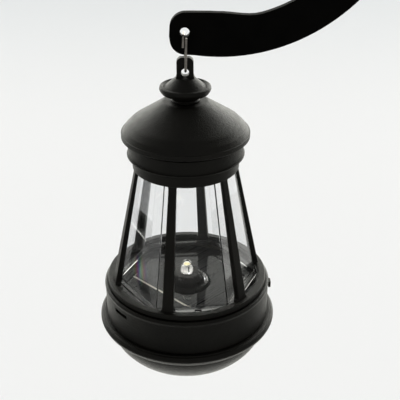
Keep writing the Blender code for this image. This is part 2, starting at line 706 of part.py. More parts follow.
def build_board():
    green = material("circuit_board", (0.03, 0.14, 0.07), 0.45)
    board = rod("circuit_board", BOARD_R, BOARD_Z, green, segments=48)
    for i, (x, y, low) in enumerate(boss_places()):
        radius = 1.3 if x else 2.7
        cut(board, rod(f"board_hole_tool_{i}", radius, (BOARD_Z[0] - 1, BOARD_Z[1] + 1), green, x, y))
    below = BOARD_Z[0] - GAP
    resin = material("chip_resin", (0.02, 0.02, 0.02), 0.55)
    block("driver_chip", (6.0, 11.0), (12.5, 16.5), (below - 1.5, below), resin)
    rod("inductor", 2.5, (below - 3.2, below), material("ferrite", (0.05, 0.045, 0.04), 0.6),
        -8.0, 14.5, 20)
    number = 1
    for end in (-1, 1):
        for side in (-1, 1):
            screw(f"board_screw_{number}", 2.1, (below - 1.2, below), 0.85, DECK_BOTTOM_Z + 0.2,
                  end * BOARD_SCREW_X, side * BOARD_SCREW_Y)
            number += 1


def build_battery():
    half = BATTERY_LENGTH / 2
    lying = Matrix.Translation((0, 0, BATTERY_Z * MM)) @ Matrix.Rotation(math.radians(90), 4, "Y")
    battery = turned("battery", rounded([
        (0, -half), (BATTERY_R - 0.2, -half, 0.5), (BATTERY_R, half - 1.6, 0.8),
        (2.8, half - 1.4), (2.8, half, 0.3), (0, half)]),
        material("battery_sleeve", (0.05, 0.22, 0.12), 0.35), segments=24)
    battery.data.transform(lying)

    plastic = black_plastic()
    minus_wall = -half - GAP - SPRING_LENGTH - GAP
    plus_wall = half + GAP + 0.4 + GAP
    side = BATTERY_R + 0.4
    cradle = block("battery_cradle", (minus_wall - CRADLE_WALL, plus_wall + CRADLE_WALL),
                   (-side - CRADLE_WALL, side + CRADLE_WALL), (CRADLE_BOTTOM_Z, CRADLE_TOP_Z), plastic)
    ears = block("cradle_ears_tool", (-3.5, 3.5), (-CRADLE_SCREW_Y - 3, CRADLE_SCREW_Y + 3),
                 (CRADLE_TOP_Z - CRADLE_WALL, CRADLE_TOP_Z), plastic)
    join(cradle, ears)
    cut(cradle, block("cradle_room_tool", (minus_wall, plus_wall), (-side, side),
                      (CRADLE_BOTTOM_Z - 2, CRADLE_TOP_Z - CRADLE_WALL), plastic))
    for number, end in ((1, -1), (2, 1)):
        y = end * CRADLE_SCREW_Y
        cut(cradle, rod(f"ear_hole_tool_{number}", 1.15, (CRADLE_TOP_Z - 3, CRADLE_TOP_Z + 1),
                        plastic, 0, y, 12))
        head = CRADLE_TOP_Z - CRADLE_WALL - GAP
        screw(f"cradle_screw_{number}", 1.9, (head - 1.2, head), 0.85, DECK_BOTTOM_Z - 0.2, 0, y)

    block("positive_contact", (half + GAP, half + GAP + 0.4), (-4.5, 4.5),
          (BATTERY_Z - 4.5, BATTERY_Z + 5.5), nickel())
    turns = 3
    per_turn = 12
    route = []
    for i in range(turns * per_turn + 1):
        share = i / (turns * per_turn)
        radius = 4.2 - 1.6 * share
        turn = math.tau * i / per_turn
        x = minus_wall + GAP + 0.3 + (SPRING_LENGTH - 0.6) * share
        route.append((x, radius * math.cos(turn), BATTERY_Z + radius * math.sin(turn)))
    tube("negative_spring", route, 0.3, nickel(), resolution=1)
    build_wires(minus_wall - CRADLE_WALL, plus_wall + CRADLE_WALL)


def build_wires(cradle_minus_x, cradle_plus_x):
    """Short insulated leads, all held inside the base."""
    red = material("red_wire", (0.45, 0.02, 0.02), 0.45)
    black = material("black_wire", (0.02, 0.02, 0.02), 0.45)
    radius = 0.55
    off = radius + GAP
    under_board = BOARD_Z[0] - off
    over_board = BOARD_Z[1] + off
    for name, x, side, mat in (("battery_wire_plus", cradle_plus_x + off, 1, red),
                               ("battery_wire_minus", cradle_minus_x - off, -1, black)):
        route = [(x, 0, 26), (x, 0, 29.5), (x, side * 1.5, 32.0),
                 (x, side * 5.0, under_board), (x - side * 1.5, side * 9.0, under_board)]
        tube(name, smooth_route(route), radius, mat)
    for name, y, mat in (("panel_wire_plus", 4.0, red), ("panel_wire_minus", -4.0, black)):
        route = [(18, y, PANEL_BOARD_Z[0] - GAP), (18, y, DECK_BOTTOM_Z), (17.6, y, 36.5)]
        tube(name, smooth_route(route), radius, mat)
    for name, y, mat in (("switch_wire_feed", -1.6, red), ("switch_wire_return", 3.2, black)):
        route = [(31.0, y, 37.2), (29.0, y, 37.2), (26.0, y, over_board), (22.5, y, over_board)]
        tube(name, smooth_route(route), radius, mat)


def build_switch():
    plastic = black_plastic()
    side_block("switch_body", (31.6, SWITCH_BODY_OUTER_R), 4.4, (LEDGE_TOP_Z + GAP, 41.8),
               SWITCH_ANGLE, material("switch_case", (0.05, 0.05, 0.05), 0.5), shift=SWITCH_TRAVEL / 4)
    half = KNOB_STEM / 2
    knob = side_block("switch_knob", (WALL_R + GAP, 38.65), 1.7, (SWITCH_Z - 1.5, SWITCH_Z + 1.5),
                      SWITCH_ANGLE, plastic)
    stem = side_block("knob_stem_tool", (SWITCH_BODY_OUTER_R + GAP, WALL_R + 0.6), half,
                      (SWITCH_Z - half, SWITCH_Z + half), SWITCH_ANGLE, plastic)
    join(knob, stem)


# ---------------------------------------------------------------- assembly

def hang_from_wall():
    """Move everything so that the wall plate's back face is centred on the world origin."""
    anchor = bpy.data.objects.new("bracket_frame", None)
    bpy.context.collection.objects.link(anchor)
    anchor.location = (-PLATE_BACK_X * MM, 0, -PLATE_CENTRE_Z * MM)
    for obj in bpy.context.collection.objects:
        if obj is not anchor:
            obj.parent = anchor


def main():
    clear_scene()
    build_bracket()
    build_link()
    build_finial()
    build_roof()
    build_cage()
    build_lens()
    build_wall()
    build_tray()
    build_bowl()
    build_panel()
    build_lamp()
    build_board()
    build_battery()
    build_switch()
    hang_from_wall()


main()
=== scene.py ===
import math

import bmesh
import bpy
from mathutils import Matrix, Vector


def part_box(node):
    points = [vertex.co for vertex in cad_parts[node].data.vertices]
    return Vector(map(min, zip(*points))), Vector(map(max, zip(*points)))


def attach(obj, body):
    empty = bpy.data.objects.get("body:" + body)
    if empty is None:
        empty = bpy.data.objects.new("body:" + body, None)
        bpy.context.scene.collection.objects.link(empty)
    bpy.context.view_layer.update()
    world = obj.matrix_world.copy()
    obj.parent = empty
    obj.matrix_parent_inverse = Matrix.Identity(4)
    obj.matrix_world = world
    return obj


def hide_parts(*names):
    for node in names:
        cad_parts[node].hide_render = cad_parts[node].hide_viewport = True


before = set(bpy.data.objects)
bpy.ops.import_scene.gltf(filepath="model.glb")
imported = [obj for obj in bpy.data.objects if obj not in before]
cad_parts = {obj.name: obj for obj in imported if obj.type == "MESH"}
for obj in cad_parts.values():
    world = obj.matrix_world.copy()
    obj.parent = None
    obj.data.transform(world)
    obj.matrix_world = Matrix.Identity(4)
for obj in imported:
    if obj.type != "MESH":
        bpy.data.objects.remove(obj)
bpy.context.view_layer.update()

MM = 0.001
SEGMENTS = 144
SMALL_SEGMENTS = 48
SMOOTH_ANGLE = math.radians(38)
GAP = 0.3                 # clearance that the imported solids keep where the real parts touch

bowl_low, bowl_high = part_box("base_bowl")
FOOT = Vector(((bowl_low.x + bowl_high.x) / 2, (bowl_low.y + bowl_high.y) / 2, bowl_low.z))


def height(node, top=True):
    """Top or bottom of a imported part, in millimetres above the bowl's lowest point."""
    return (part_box(node)[1 if top else 0].z - FOOT.z) / MM


def radius(node):
    """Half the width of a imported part, front to back, in millimetres."""
    low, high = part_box(node)
    return (high.y - low.y) / 2 / MM


# ---------------------------------------------------------------- outlines

def polar(r, angle):
    turn = math.radians(angle)
    return r * math.sin(turn), -r * math.cos(turn)


def arc(centre, r, start, end, steps):
    points = []
    for i in range(steps + 1):
        turn = math.radians(start + (end - start) * i / steps)
        points.append((centre[0] + r * math.cos(turn), centre[1] + r * math.sin(turn)))
    return points


def rounded(corners, closed=True, steps=5):
    """Outline through (a, b) or (a, b, radius) corners, with an arc at each given radius."""
    points = []
    count = len(corners)
    for i, corner in enumerate(corners):
        here = Vector(corner[:2])
        r = corner[2] if len(corner) > 2 else 0.0
        if r == 0.0 or (not closed and i in (0, count - 1)):
            points.append(tuple(here))
            continue
        before = (Vector(corners[i - 1][:2]) - here).normalized()
        after = (Vector(corners[(i + 1) % count][:2]) - here).normalized()
        half = before.angle(after) / 2
        centre = here + (before + after).normalized() * (r / math.sin(half))
        first = here + before * (r / math.tan(half)) - centre
        last = here + after * (r / math.tan(half)) - centre
        sweep = first.angle_signed(last)
        for k in range(steps + 1):
            points.append(tuple(centre + Matrix.Rotation(-sweep * k / steps, 2) @ first))
    return points


# ---------------------------------------------------------------- meshes

def finish_mesh(name, bm):
    """Turn a bmesh, in metres around the lantern's foot, into an object that stands there."""
    bmesh.ops.recalc_face_normals(bm, faces=bm.faces)
    mesh = bpy.data.meshes.new(name)
    bm.to_mesh(mesh)
    bm.free()
    obj = bpy.data.objects.new(name, mesh)
    bpy.context.collection.objects.link(obj)
    obj.location = FOOT
    return obj


def turned(name, outline, segments=SEGMENTS):
    """Solid of revolution about the axis from a closed (radius, height) outline."""
    bm = bmesh.new()
    verts = [bm.verts.new((r * MM, 0, z * MM)) for r, z in outline]
    edges = []
    for a, b in zip(verts, verts[1:] + verts[:1]):
        if a.co.x > 0 or b.co.x > 0:
            edges.append(bm.edges.new((a, b)))
    bmesh.ops.spin(bm, geom=verts + edges, axis=(0, 0, 1), cent=(0, 0, 0),
                   steps=segments, angle=math.tau, use_merge=True)
    bmesh.ops.remove_doubles(bm, verts=bm.verts, dist=1e-7)
    return finish_mesh(name, bm)


def prism(name, outline, thick):
    """Flat outline in X and Z, extruded to both sides along Y."""
    bm = bmesh.new()
    face = bm.faces.new([bm.verts.new((x * MM, -thick / 2 * MM, z * MM)) for x, z in outline])
    grown = bmesh.ops.extrude_face_region(bm, geom=[face])["geom"]
    moved = [item for item in grown if isinstance(item, bmesh.types.BMVert)]
    bmesh.ops.translate(bm, verts=moved, vec=(0, thick * MM, 0))
    return finish_mesh(name, bm)


def block(name, x, y, z):
    """Box between pairs of limits in X, Y and Z."""
    bm = bmesh.new()
    bmesh.ops.create_cube(bm, size=1.0)
    for vert in bm.verts:
        for axis, limits in enumerate((x, y, z)):
            vert.co[axis] = limits[0 if vert.co[axis] < 0 else 1] * MM
    return finish_mesh(name, bm)


def side_block(name, radial, half_width, z, angle, shift=0.0):
    """Box that faces out at an angle, with radial limits, and shift along the tangent."""
    obj = block(name, (shift - half_width, shift + half_width), (-radial[1], -radial[0]), z)
    obj.data.transform(Matrix.Rotation(math.radians(angle), 4, "Z"))
    return obj


def side_blocks(name, radial, half_width, z, angles):
    """The same side block at each of several angles."""
    return [side_block(f"{name}_{i}", radial, half_width, z, angle) for i, angle in enumerate(angles)]


def about(middle, half):
    return middle - half, middle + half


def rod(name, r, z, x=0.0, y=0.0, segments=SMALL_SEGMENTS):
    obj = turned(name, [(0, z[0]), (r, z[0]), (r, z[1]), (0, z[1])], segments)
    obj.data.transform(Matrix.Translation((x * MM, y * MM, 0)))
    return obj


def cross_rod(name, r, z, reach=5.0):
    """Rod along Y through the axis at a height, for cutting a hole."""
    obj = rod(name, r, (-reach, reach))
    lay_down = Matrix.Rotation(math.radians(90), 4, "X")
    obj.data.transform(Matrix.Translation((0, 0, z * MM)) @ lay_down)
    return obj


def lofted(name, loops):
    """Closed skin over loops of equally many 3-D points in millimetres, with flat ends."""
    bm = bmesh.new()
    rings = [[bm.verts.new(Vector(point) * MM) for point in loop] for loop in loops]
    count = len(rings[0])
    for low, high in zip(rings, rings[1:]):
        for i in range(count):
            k = (i + 1) % count
            bm.faces.new((low[i], low[k], high[k], high[i]))
    bm.faces.new(rings[0])
    bm.faces.new(rings[-1])
    return finish_mesh(name, bm)


END_ROUND = 0.25          # how far a wire's end is rounded back, as a share of its radius
END_SHRINK = 0.8          # radius of a wire's end face, as a share of its radius


def swept(name, route, r, sides=16):
    """Round wire along 3-D points in millimetres, with softened ends."""
    points = [Vector(point) for point in route]
    side = Vector((1, 0, 0))
    loops = []
    for i, point in enumerate(points):
        ahead = points[min(i + 1, len(points) - 1)] - points[max(i - 1, 0)]
        ahead.normalize()
        side = (side - ahead * side.dot(ahead)).normalized()
        up = ahead.cross(side)
        ring = []
        for k in range(sides):
            turn = math.tau * k / sides
            ring.append((side * math.cos(turn) + up * math.sin(turn)) * r)
        if i in (0, len(points) - 1):
            inward = ahead * (r * END_ROUND if i == 0 else -r * END_ROUND)
            ends = [[point + spoke * END_SHRINK for spoke in ring],
                    [point + inward + spoke for spoke in ring]]
            loops += ends if i == 0 else ends[::-1]
        else:
            loops.append([point + spoke for spoke in ring])
    return lofted(name, loops)


def settle(obj):
    """Apply an object's modifiers to its mesh."""
    depsgraph = bpy.context.evaluated_depsgraph_get()
    made = bpy.data.meshes.new_from_object(obj.evaluated_get(depsgraph))
    obj.modifiers.clear()
    obj.data = made


def combine(target, tools, operation):
    """Join tools to a target, or cut them out of it, and remove them."""
    for tool in tools:
        change = target.modifiers.new(tool.name, "BOOLEAN")
        change.operation = operation
        change.solver = "EXACT"
        change.object = tool
    settle(target)
    for tool in tools:
        bpy.data.objects.remove(tool)


def soften(obj, width, steps=3, angle=40):
    """Round the edges that are sharper than an angle."""
    bevel = obj.modifiers.new("soft_edges", "BEVEL")
    bevel.width = width * MM
    bevel.segments = steps
    bevel.limit_method = "ANGLE"
    bevel.angle_limit = math.radians(angle)
    settle(obj)


def dress(obj, mat, body, nodes=()):
    """Shade a piece, give it its material, hang it on its body's empty and hide the imported parts that it
    stands for.
    """
    obj.data.materials.clear()
    obj.data.materials.append(mat)
    obj.data.shade_smooth()
    obj.data.set_sharp_from_angle(angle=SMOOTH_ANGLE)
    weighted = obj.modifiers.new("even_normals", "WEIGHTED_NORMAL")
    weighted.keep_sharp = True
    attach(obj, body)
    if nodes:
        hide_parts(*nodes)


# ---------------------------------------------------------------- material nodes
# The first argument of these is the material, or the world, whose node tree they add to.

def new_material(name):
    mat = bpy.data.materials.new(name)
    mat.use_nodes = True
    return mat, mat.node_tree.nodes["Principled BSDF"]


def node(mat, kind, values=None, **settings):
    """Add a shader node. Values are numbers, colours or other nodes' output sockets."""
    made = mat.node_tree.nodes.new(kind)
    for key, value in settings.items():
        setattr(made, key, value)
    for key, value in (values or {}).items():
        feed(mat, made.inputs[key], value)
    return made


def feed(mat, socket, value):
    if isinstance(value, bpy.types.NodeSocket):
        mat.node_tree.links.new(value, socket)
    else:
        socket.default_value = value


def place_on(mat):
    """Coordinates fixed to the object, in metres from its origin."""
    return node(mat, "ShaderNodeTexCoord").outputs["Object"]


def noise(mat, size, detail=3.0, roughness=0.5, where=None):
    """Noise, about 0 to 1, with features of a size in millimetres."""
    values = {"Scale": 1 / (size * MM), "Detail": detail, "Roughness": roughness,
              "Vector": where or place_on(mat)}
    return node(mat, "ShaderNodeTexNoise", values).outputs["Fac"]


def remap(mat, value, low, high, to_low, to_high, smooth=False):
    """Carry low to to_low and high to to_high, and hold the value beyond them."""
    values = {"Value": value, "From Min": low, "From Max": high,
              "To Min": to_low, "To Max": to_high}
    kind = "SMOOTHSTEP" if smooth else "LINEAR"
    return node(mat, "ShaderNodeMapRange", values, interpolation_type=kind).outputs["Result"]


def compute(mat, operation, first, second=0.0):
    return node(mat, "ShaderNodeMath", {0: first, 1: second}, operation=operation).outputs[0]


def dot(mat, first, second):
    values = {0: first, 1: second}
    return node(mat, "ShaderNodeVectorMath", values, operation="DOT_PRODUCT").outputs["Value"]


def blend_colours(mat, share, first, second):
    """Colour from first to second as share goes from 0 to 1."""
    mix = node(mat, "ShaderNodeMix", data_type="RGBA")
    feed(mat, mix.inputs["Factor"], share)
    feed(mat, mix.inputs["A"], first)
    feed(mat, mix.inputs["B"], second)
    return mix.outputs["Result"]


def bump(mat, heights):
    """Normal from (height, depth in millimetres) pairs, laid over one another."""
    normal = None
    for value, depth in heights:
        values = {"Height": value, "Distance": depth * MM, "Strength": 1.0}
        if normal:
            values["Normal"] = normal
        normal = node(mat, "ShaderNodeBump", values).outputs["Normal"]
    return normal


def edge_wear(mat, reach):
    """1 along edges and 0 on plain faces, from how a rounded normal leaves the true one."""
    soft = node(mat, "ShaderNodeBevel", {"Radius": reach * MM}, samples=6).outputs["Normal"]
    true = node(mat, "ShaderNodeNewGeometry").outputs["Normal"]
    return remap(mat, dot(mat, soft, true), 0.995, 0.9, 0.0, 1.0, smooth=True)


def surface(mat, shader, base, rough, relief):
    """Feed colour, roughness and a normal from (height, depth) pairs into the shader."""
    feed(mat, shader.inputs["Base Color"], base)
    feed(mat, shader.inputs["Roughness"], rough)
    feed(mat, shader.inputs["Normal"], bump(mat, relief))
    return mat


# ---------------------------------------------------------------- materials

BLACK_PLASTIC = (0.0082, 0.0076, 0.0060)
PLASTIC_DUST = (0.030, 0.029, 0.026, 1)
PLASTIC_WORN = (0.040, 0.039, 0.036, 1)
COAT_DARK = (0.0020, 0.0019, 0.0017, 1)
COAT_LIGHT = (0.0042, 0.0040, 0.0036, 1)
COAT_WORN = (0.022, 0.021, 0.020, 1)
TARNISH = (0.20, 0.18, 0.17)
CLEAR_TINT = (0.996, 0.999, 1.0, 1)
CLEAR_HAZE_TINT = (0.975, 0.988, 1.0, 1)


def opaque(colour, scale=1.0):
    """Colour with an alpha of 1, made darker or lighter."""
    return (*[min(c * scale, 1.0) for c in colour], 1)


def moulded_plastic(name, rough=0.40, specular=0.34, grain_depth=0.16):
    """Black moulding: fine spark-eroded grain, faint flow marks, dust and polished edges."""
    mat, shader = new_material(name)
    flow = noise(mat, 14.0, detail=4.0)
    dust = noise(mat, 2.2, detail=6.0, roughness=0.7)
    grain = noise(mat, 0.5, detail=3.0, roughness=0.7)
    pits = noise(mat, 1.1, detail=3.0)
    worn = edge_wear(mat, 0.5)
    worn = compute(mat, "MULTIPLY", worn, remap(mat, pits, 0.35, 0.65, 0.2, 1.0))
    base = blend_colours(mat, remap(mat, flow, 0.35, 0.65, 0.0, 1.0),
                         opaque(BLACK_PLASTIC, 0.72), opaque(BLACK_PLASTIC, 1.45))
    base = blend_colours(mat, remap(mat, dust, 0.58, 0.80, 0.0, 0.35), base, PLASTIC_DUST)
    base = blend_colours(mat, compute(mat, "MULTIPLY", worn, 0.55), base, PLASTIC_WORN)
    uneven = remap(mat, dust, 0.3, 0.7, rough - 0.05, rough + 0.07)
    uneven = compute(mat, "SUBTRACT", uneven, compute(mat, "MULTIPLY", worn, 0.10))
    shader.inputs["Specular IOR Level"].default_value = specular
    return surface(mat, shader, base, uneven, [(grain, grain_depth), (pits, grain_depth * 0.5)])


def powder_coat():
    """Black powder coat: orange peel, thinned to a paler line along the edges."""
    mat, shader = new_material("black_powder_coat")
    peel = noise(mat, 1.3, detail=1.0)
    speck = noise(mat, 0.25, detail=2.0)
    cloud = noise(mat, 9.0)
    worn = edge_wear(mat, 0.6)
    base = blend_colours(mat, remap(mat, cloud, 0.35, 0.65, 0.0, 1.0), COAT_DARK, COAT_LIGHT)
    base = blend_colours(mat, compute(mat, "MULTIPLY", worn, 0.3), base, COAT_WORN)
    shader.inputs["Specular IOR Level"].default_value = 0.08
    rough = remap(mat, speck, 0.3, 0.7, 0.55, 0.68)
    return surface(mat, shader, base, rough, [(peel, 0.020), (speck, 0.004)])


def stretched(mat, where, scale):
    """Coordinates scaled axis by axis, so that a pattern runs long where its scale is small."""
    return node(mat, "ShaderNodeMapping", {"Vector": where, "Scale": scale}).outputs["Vector"]


def drawn_metal(name, colour, rough=0.22, tarnish=TARNISH):
    """Plated wire or sheet: fine drawing lines, dull spots and a little tarnish."""
    mat, shader = new_material(name)
    lines = stretched(mat, place_on(mat), (1.0, 1.0, 0.08))
    scratch = noise(mat, 0.08, detail=2.0, where=lines)
    spots = noise(mat, 1.4, detail=5.0, roughness=0.7)
    base = blend_colours(mat, remap(mat, spots, 0.5, 0.75, 0.0, 0.7), opaque(colour), opaque(tarnish))
    shader.inputs["Metallic"].default_value = 1.0
    uneven = remap(mat, spots, 0.3, 0.8, rough, rough + 0.22)
    return surface(mat, shader, base, uneven, [(scratch, 0.0015)])


# Painted glow: the clear lens emits a faint rainbow in one patch, though it is no lamp.
RAINBOW_GLOW_PLACE = (-20.2, -14.8, 57.4)
RAINBOW_GLOW_REACH = 8.0
RAINBOW_GLOW_STRENGTH = 0.06
RAINBOW_GLOW_WAVE = (0.58, -0.81, 0.30)     # turn of the colours, in radians per millimetre
RAINBOW_GLOW_SHIFTS = (0.0, 2.1, 4.2)       # start of the red, green and blue bands, in radians


def painted_rainbow_glow(mat, shader):
    """Painted glow: a faint rainbow of emission in one patch near the foot of the front left pane, standing
    in for the coloured light that moulding stress shows.
    """
    where = place_on(mat)
    values = {0: where, 1: Vector(RAINBOW_GLOW_PLACE) * MM}
    apart = node(mat, "ShaderNodeVectorMath", values, operation="DISTANCE").outputs["Value"]
    patch = remap(mat, apart, RAINBOW_GLOW_REACH * MM, 0.0, 0.0, 1.0, smooth=True)
    across = dot(mat, where, Vector(RAINBOW_GLOW_WAVE) / MM)
    rainbow = node(mat, "ShaderNodeCombineColor")
    for channel, shift in zip(("Red", "Green", "Blue"), RAINBOW_GLOW_SHIFTS):
        wave = compute(mat, "SINE", compute(mat, "ADD", across, shift))
        feed(mat, rainbow.inputs[channel], remap(mat, wave, -1.0, 1.0, 0.25, 1.0))
    # painted glow: the patch's rainbow goes into the lens as emission
    feed(mat, shader.inputs["Emission Color"], rainbow.outputs["Color"])
    feed(mat, shader.inputs["Emission Strength"], compute(mat, "MULTIPLY", patch, RAINBOW_GLOW_STRENGTH))


def clear_moulding():
    """Polished clear moulding: faint flow waves, hazy marks, a cool tint and a painted rainbow glow of
    emission.
    """
    mat, shader = new_material("clear_polystyrene")
    wave = noise(mat, 16.0, detail=2.0)
    haze = noise(mat, 5.0, detail=6.0, roughness=0.7)
    tint = blend_colours(mat, remap(mat, haze, 0.4, 0.7, 0.0, 1.0), CLEAR_TINT, CLEAR_HAZE_TINT)
    shader.inputs["Transmission Weight"].default_value = 1.0
    shader.inputs["IOR"].default_value = 1.49
    painted_rainbow_glow(mat, shader)
    return surface(mat, shader, tint, remap(mat, haze, 0.5, 0.8, 0.0, 0.06), [(wave, 0.010)])


def clear_epoxy():
    """Cast clear resin with faint waves, used for the LED and for the panel's cover."""
    mat, shader = new_material("clear_epoxy_resin")
    wave = noise(mat, 2.5)
    tint = blend_colours(mat, wave, (0.98, 0.985, 0.98, 1), (0.95, 0.955, 0.93, 1))
    shader.inputs["Transmission Weight"].default_value = 1.0
    shader.inputs["IOR"].default_value = 1.53
    return surface(mat, shader, tint, remap(mat, wave, 0.3, 0.7, 0.0, 0.05), [(wave, 0.004)])


def plain_detail(name, colour, rough, grain_size, depth, metallic=0.0, vary=0.25):
    """A small hidden part's material: colour that varies a little, and grain."""
    mat, shader = new_material(name)
    grain = noise(mat, grain_size, detail=4.0)
    cloud = noise(mat, grain_size * 9, detail=3.0)
    base = blend_colours(mat, cloud, opaque(colour, 1 - vary), opaque(colour, 1 + vary))
    shader.inputs["Metallic"].default_value = metallic
    uneven = remap(mat, grain, 0.3, 0.7, rough - 0.06, rough + 0.08)
    return surface(mat, shader, base, uneven, [(grain, depth)])


FINGER_ANGLE = 45.0
FINGER_PITCH = 1.4
SILICON_DARK = (0.010, 0.010, 0.014, 1)
SILICON_LIGHT = (0.022, 0.021, 0.026, 1)
SILICON_BRUSHED = (0.055, 0.052, 0.060, 1)
FINGER_COLOUR = (0.15, 0.15, 0.16, 1)


def silicon():
    """Dark cell: thin metal fingers on a diagonal, over mottled and brushed silicon."""
    mat, shader = new_material("silicon_cell")
    where = place_on(mat)
    turn = {"Vector": where, "Angle": math.radians(FINGER_ANGLE)}
    plan = node(mat, "ShaderNodeVectorRotate", turn, rotation_type="Z_AXIS").outputs["Vector"]
    across = node(mat, "ShaderNodeSeparateXYZ", {0: plan}).outputs["X"]
    phase = compute(mat, "FRACT", compute(mat, "DIVIDE", across, FINGER_PITCH * MM))
    near = compute(mat, "ABSOLUTE", compute(mat, "SUBTRACT", phase, 0.5))
    finger = remap(mat, near, 0.06, 0.09, 1.0, 0.0)
    brushed = noise(mat, 0.7, detail=4.0, where=stretched(mat, plan, (1.0, 0.04, 1.0)))
    mottle = noise(mat, 6.0, detail=5.0)
    base = blend_colours(mat, mottle, SILICON_DARK, SILICON_LIGHT)
    base = blend_colours(mat, remap(mat, brushed, 0.45, 0.7, 0.0, 0.5), base, SILICON_BRUSHED)
    base = blend_colours(mat, compute(mat, "MULTIPLY", finger, 0.45), base, FINGER_COLOUR)
    return surface(mat, shader, base, remap(mat, brushed, 0.3, 0.7, 0.22, 0.40), [(brushed, 0.006)])


TRACK_SPACING = 9.0
MASK_DARK = (0.012, 0.080, 0.036, 1)
MASK_LIGHT = (0.020, 0.110, 0.050, 1)
MASK_OVER_COPPER = (0.040, 0.190, 0.085, 1)


def printed_board():
    """Green solder mask with raised copper tracks under it, in the lines of a brick pattern."""
    mat, shader = new_material("green_board")
    bricks = {"Vector": place_on(mat), "Scale": 1 / (TRACK_SPACING * MM), "Mortar Size": 0.07,
              "Mortar Smooth": 0.2}
    track = node(mat, "ShaderNodeTexBrick", bricks).outputs["Fac"]
    cloud = noise(mat, 5.0)
    base = blend_colours(mat, cloud, MASK_DARK, MASK_LIGHT)
    base = blend_colours(mat, track, base, MASK_OVER_COPPER)
    return surface(mat, shader, base, remap(mat, cloud, 0.3, 0.7, 0.28, 0.40), [(track, 0.03)])


# ---------------------------------------------------------------- bracket and link

ARM_THICK = 3.0
ARM_CURVE = (14.0, 223.3)
ARM_LOWER_R = 74.2
ARM_UPPER_R = 59.1
ARM_HEAD_EXTRA = 2.5
ARM_BLEND_END = 16.0
ARM_HOLE_R = 1.95
ARM_HOLE_Z = 159.0
ARM_HEAD_LEFT = -6.2
ARM_HEAD_CORNER_R = 6.2
PLATE_THICK = 3.0
PLATE_HOLE_R = 2.25
PLATE_HOLE_SPACING = 44.0
PRESSED_EDGE = 0.4        # rounding of the pressed edges under the powder coat


def arm_edge(r, angle):
    """Point at a radius about the arm's curve centre, with the angle measured from straight down."""
    turn = math.radians(angle)
    return ARM_CURVE[0] + r * math.sin(turn), ARM_CURVE[1] - r * math.cos(turn)


def arm_upper_radius(angle):
    """Radius of the arm's upper edge, which draws in smoothly where the head is deeper."""
    t = min(max((ARM_BLEND_END - angle) / ARM_BLEND_END, 0.0), 1.0)
    return ARM_UPPER_R - ARM_HEAD_EXTRA * t * t * (3 - 2 * t)


def build_bracket():
    """Flat arm with a round hole in its head, welded to a wall plate with two screw holes."""
    low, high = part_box("hanger_bracket")
    plate_x = (high.x - FOOT.x) / MM - PLATE_THICK / 2
    arm = build_arm(plate_x)

    half_w = (high.y - low.y) / 2 / MM
    half_h = (high.z - low.z) / 2 / MM
    centre_z = height("hanger_bracket") - half_h
    corners = [(-half_w, -half_h, 3.0), (half_w, -half_h, 3.0), (half_w, half_h, 3.0), (-half_w, half_h, 3.0)]
    plate = prism("wall_plate_tool", rounded(corners, steps=8), PLATE_THICK)
    stand = Matrix.Rotation(math.radians(90), 4, "Z")
    plate.data.transform(Matrix.Translation((plate_x * MM, 0, centre_z * MM)) @ stand)
    holes = []
    for side in (-1, 1):
        hole = rod(f"plate_hole_tool_{side + 1}", PLATE_HOLE_R, (-5, 5))
        centre = (plate_x * MM, 0, (centre_z + side * PLATE_HOLE_SPACING / 2) * MM)
        hole.data.transform(Matrix.Translation(centre) @ Matrix.Rotation(math.radians(90), 4, "Y"))
        holes.append(hole)
    combine(plate, holes, "DIFFERENCE")
    soften(plate, PRESSED_EDGE)
    combine(arm, [plate], "UNION")
    dress(arm, powder_coat(), "bracket", ["hanger_bracket"])


def build_arm(plate_x):
    """Curved arm whose root ends inside the plate, at the given X of the plate's middle."""
    lower = [arm_edge(ARM_LOWER_R, angle / 2) for angle in range(-16, 125, 5)]
    upper = [arm_edge(arm_upper_radius(angle / 2), angle / 2) for angle in range(132, -9, -5)]
    root = [(plate_x, lower[-1][1] + 6.0), (plate_x, upper[0][1] + 9.0),
            (plate_x - PLATE_THICK / 2 - 6.0, upper[0][1] + 8.0, 5.0)]
    head = [(2.0, 166.9, 3.0), (ARM_HEAD_LEFT + 0.6, 166.8, ARM_HEAD_CORNER_R),
            (ARM_HEAD_LEFT, 157.5, 2.0), (ARM_HEAD_LEFT + 1.0, 150.2, ARM_HEAD_CORNER_R)]
    arm = prism("bracket_arm_and_plate", rounded(lower + root + upper + head, steps=14), ARM_THICK)
    combine(arm, [cross_rod("arm_hole_tool", ARM_HOLE_R, ARM_HOLE_Z)], "DIFFERENCE")
    soften(arm, PRESSED_EDGE)
    return arm


WIRE_R = 0.5
LINK_HALF_WIDTH = 3.8
LINK_BEND_R = 1.9
LINK_END_SHIFT = 0.65
LINK_UPPER_END_Z = 153.5
LINK_LOWER_END_Z = 157.4


def build_link():
    """One bent wire. It climbs sideways along its length, so that its ends lie side by side."""
    top = height("hanging_link") - WIRE_R
    bottom = height("hanging_link", top=False) + WIRE_R
    w = LINK_HALF_WIDTH
    flat = rounded([(-w, LINK_UPPER_END_Z), (-w, top, LINK_BEND_R), (w, top, LINK_BEND_R),
                    (w, bottom, LINK_BEND_R), (-w, bottom, LINK_BEND_R), (-w, LINK_LOWER_END_Z)],
                   closed=False, steps=14)
    lengths = [0.0]
    for a, b in zip(flat, flat[1:]):
        lengths.append(lengths[-1] + math.dist(a, b))
    route = []
    for (y, z), along in zip(flat, lengths):
        route.append((LINK_END_SHIFT * (2 * along / lengths[-1] - 1), y, z))
    wire = swept("bent_wire_link", route, WIRE_R)
    dress(wire, drawn_metal("plated_steel_wire", (0.56, 0.52, 0.49)), "link", ["hanging_link"])


# ---------------------------------------------------------------- finial, roof and collar

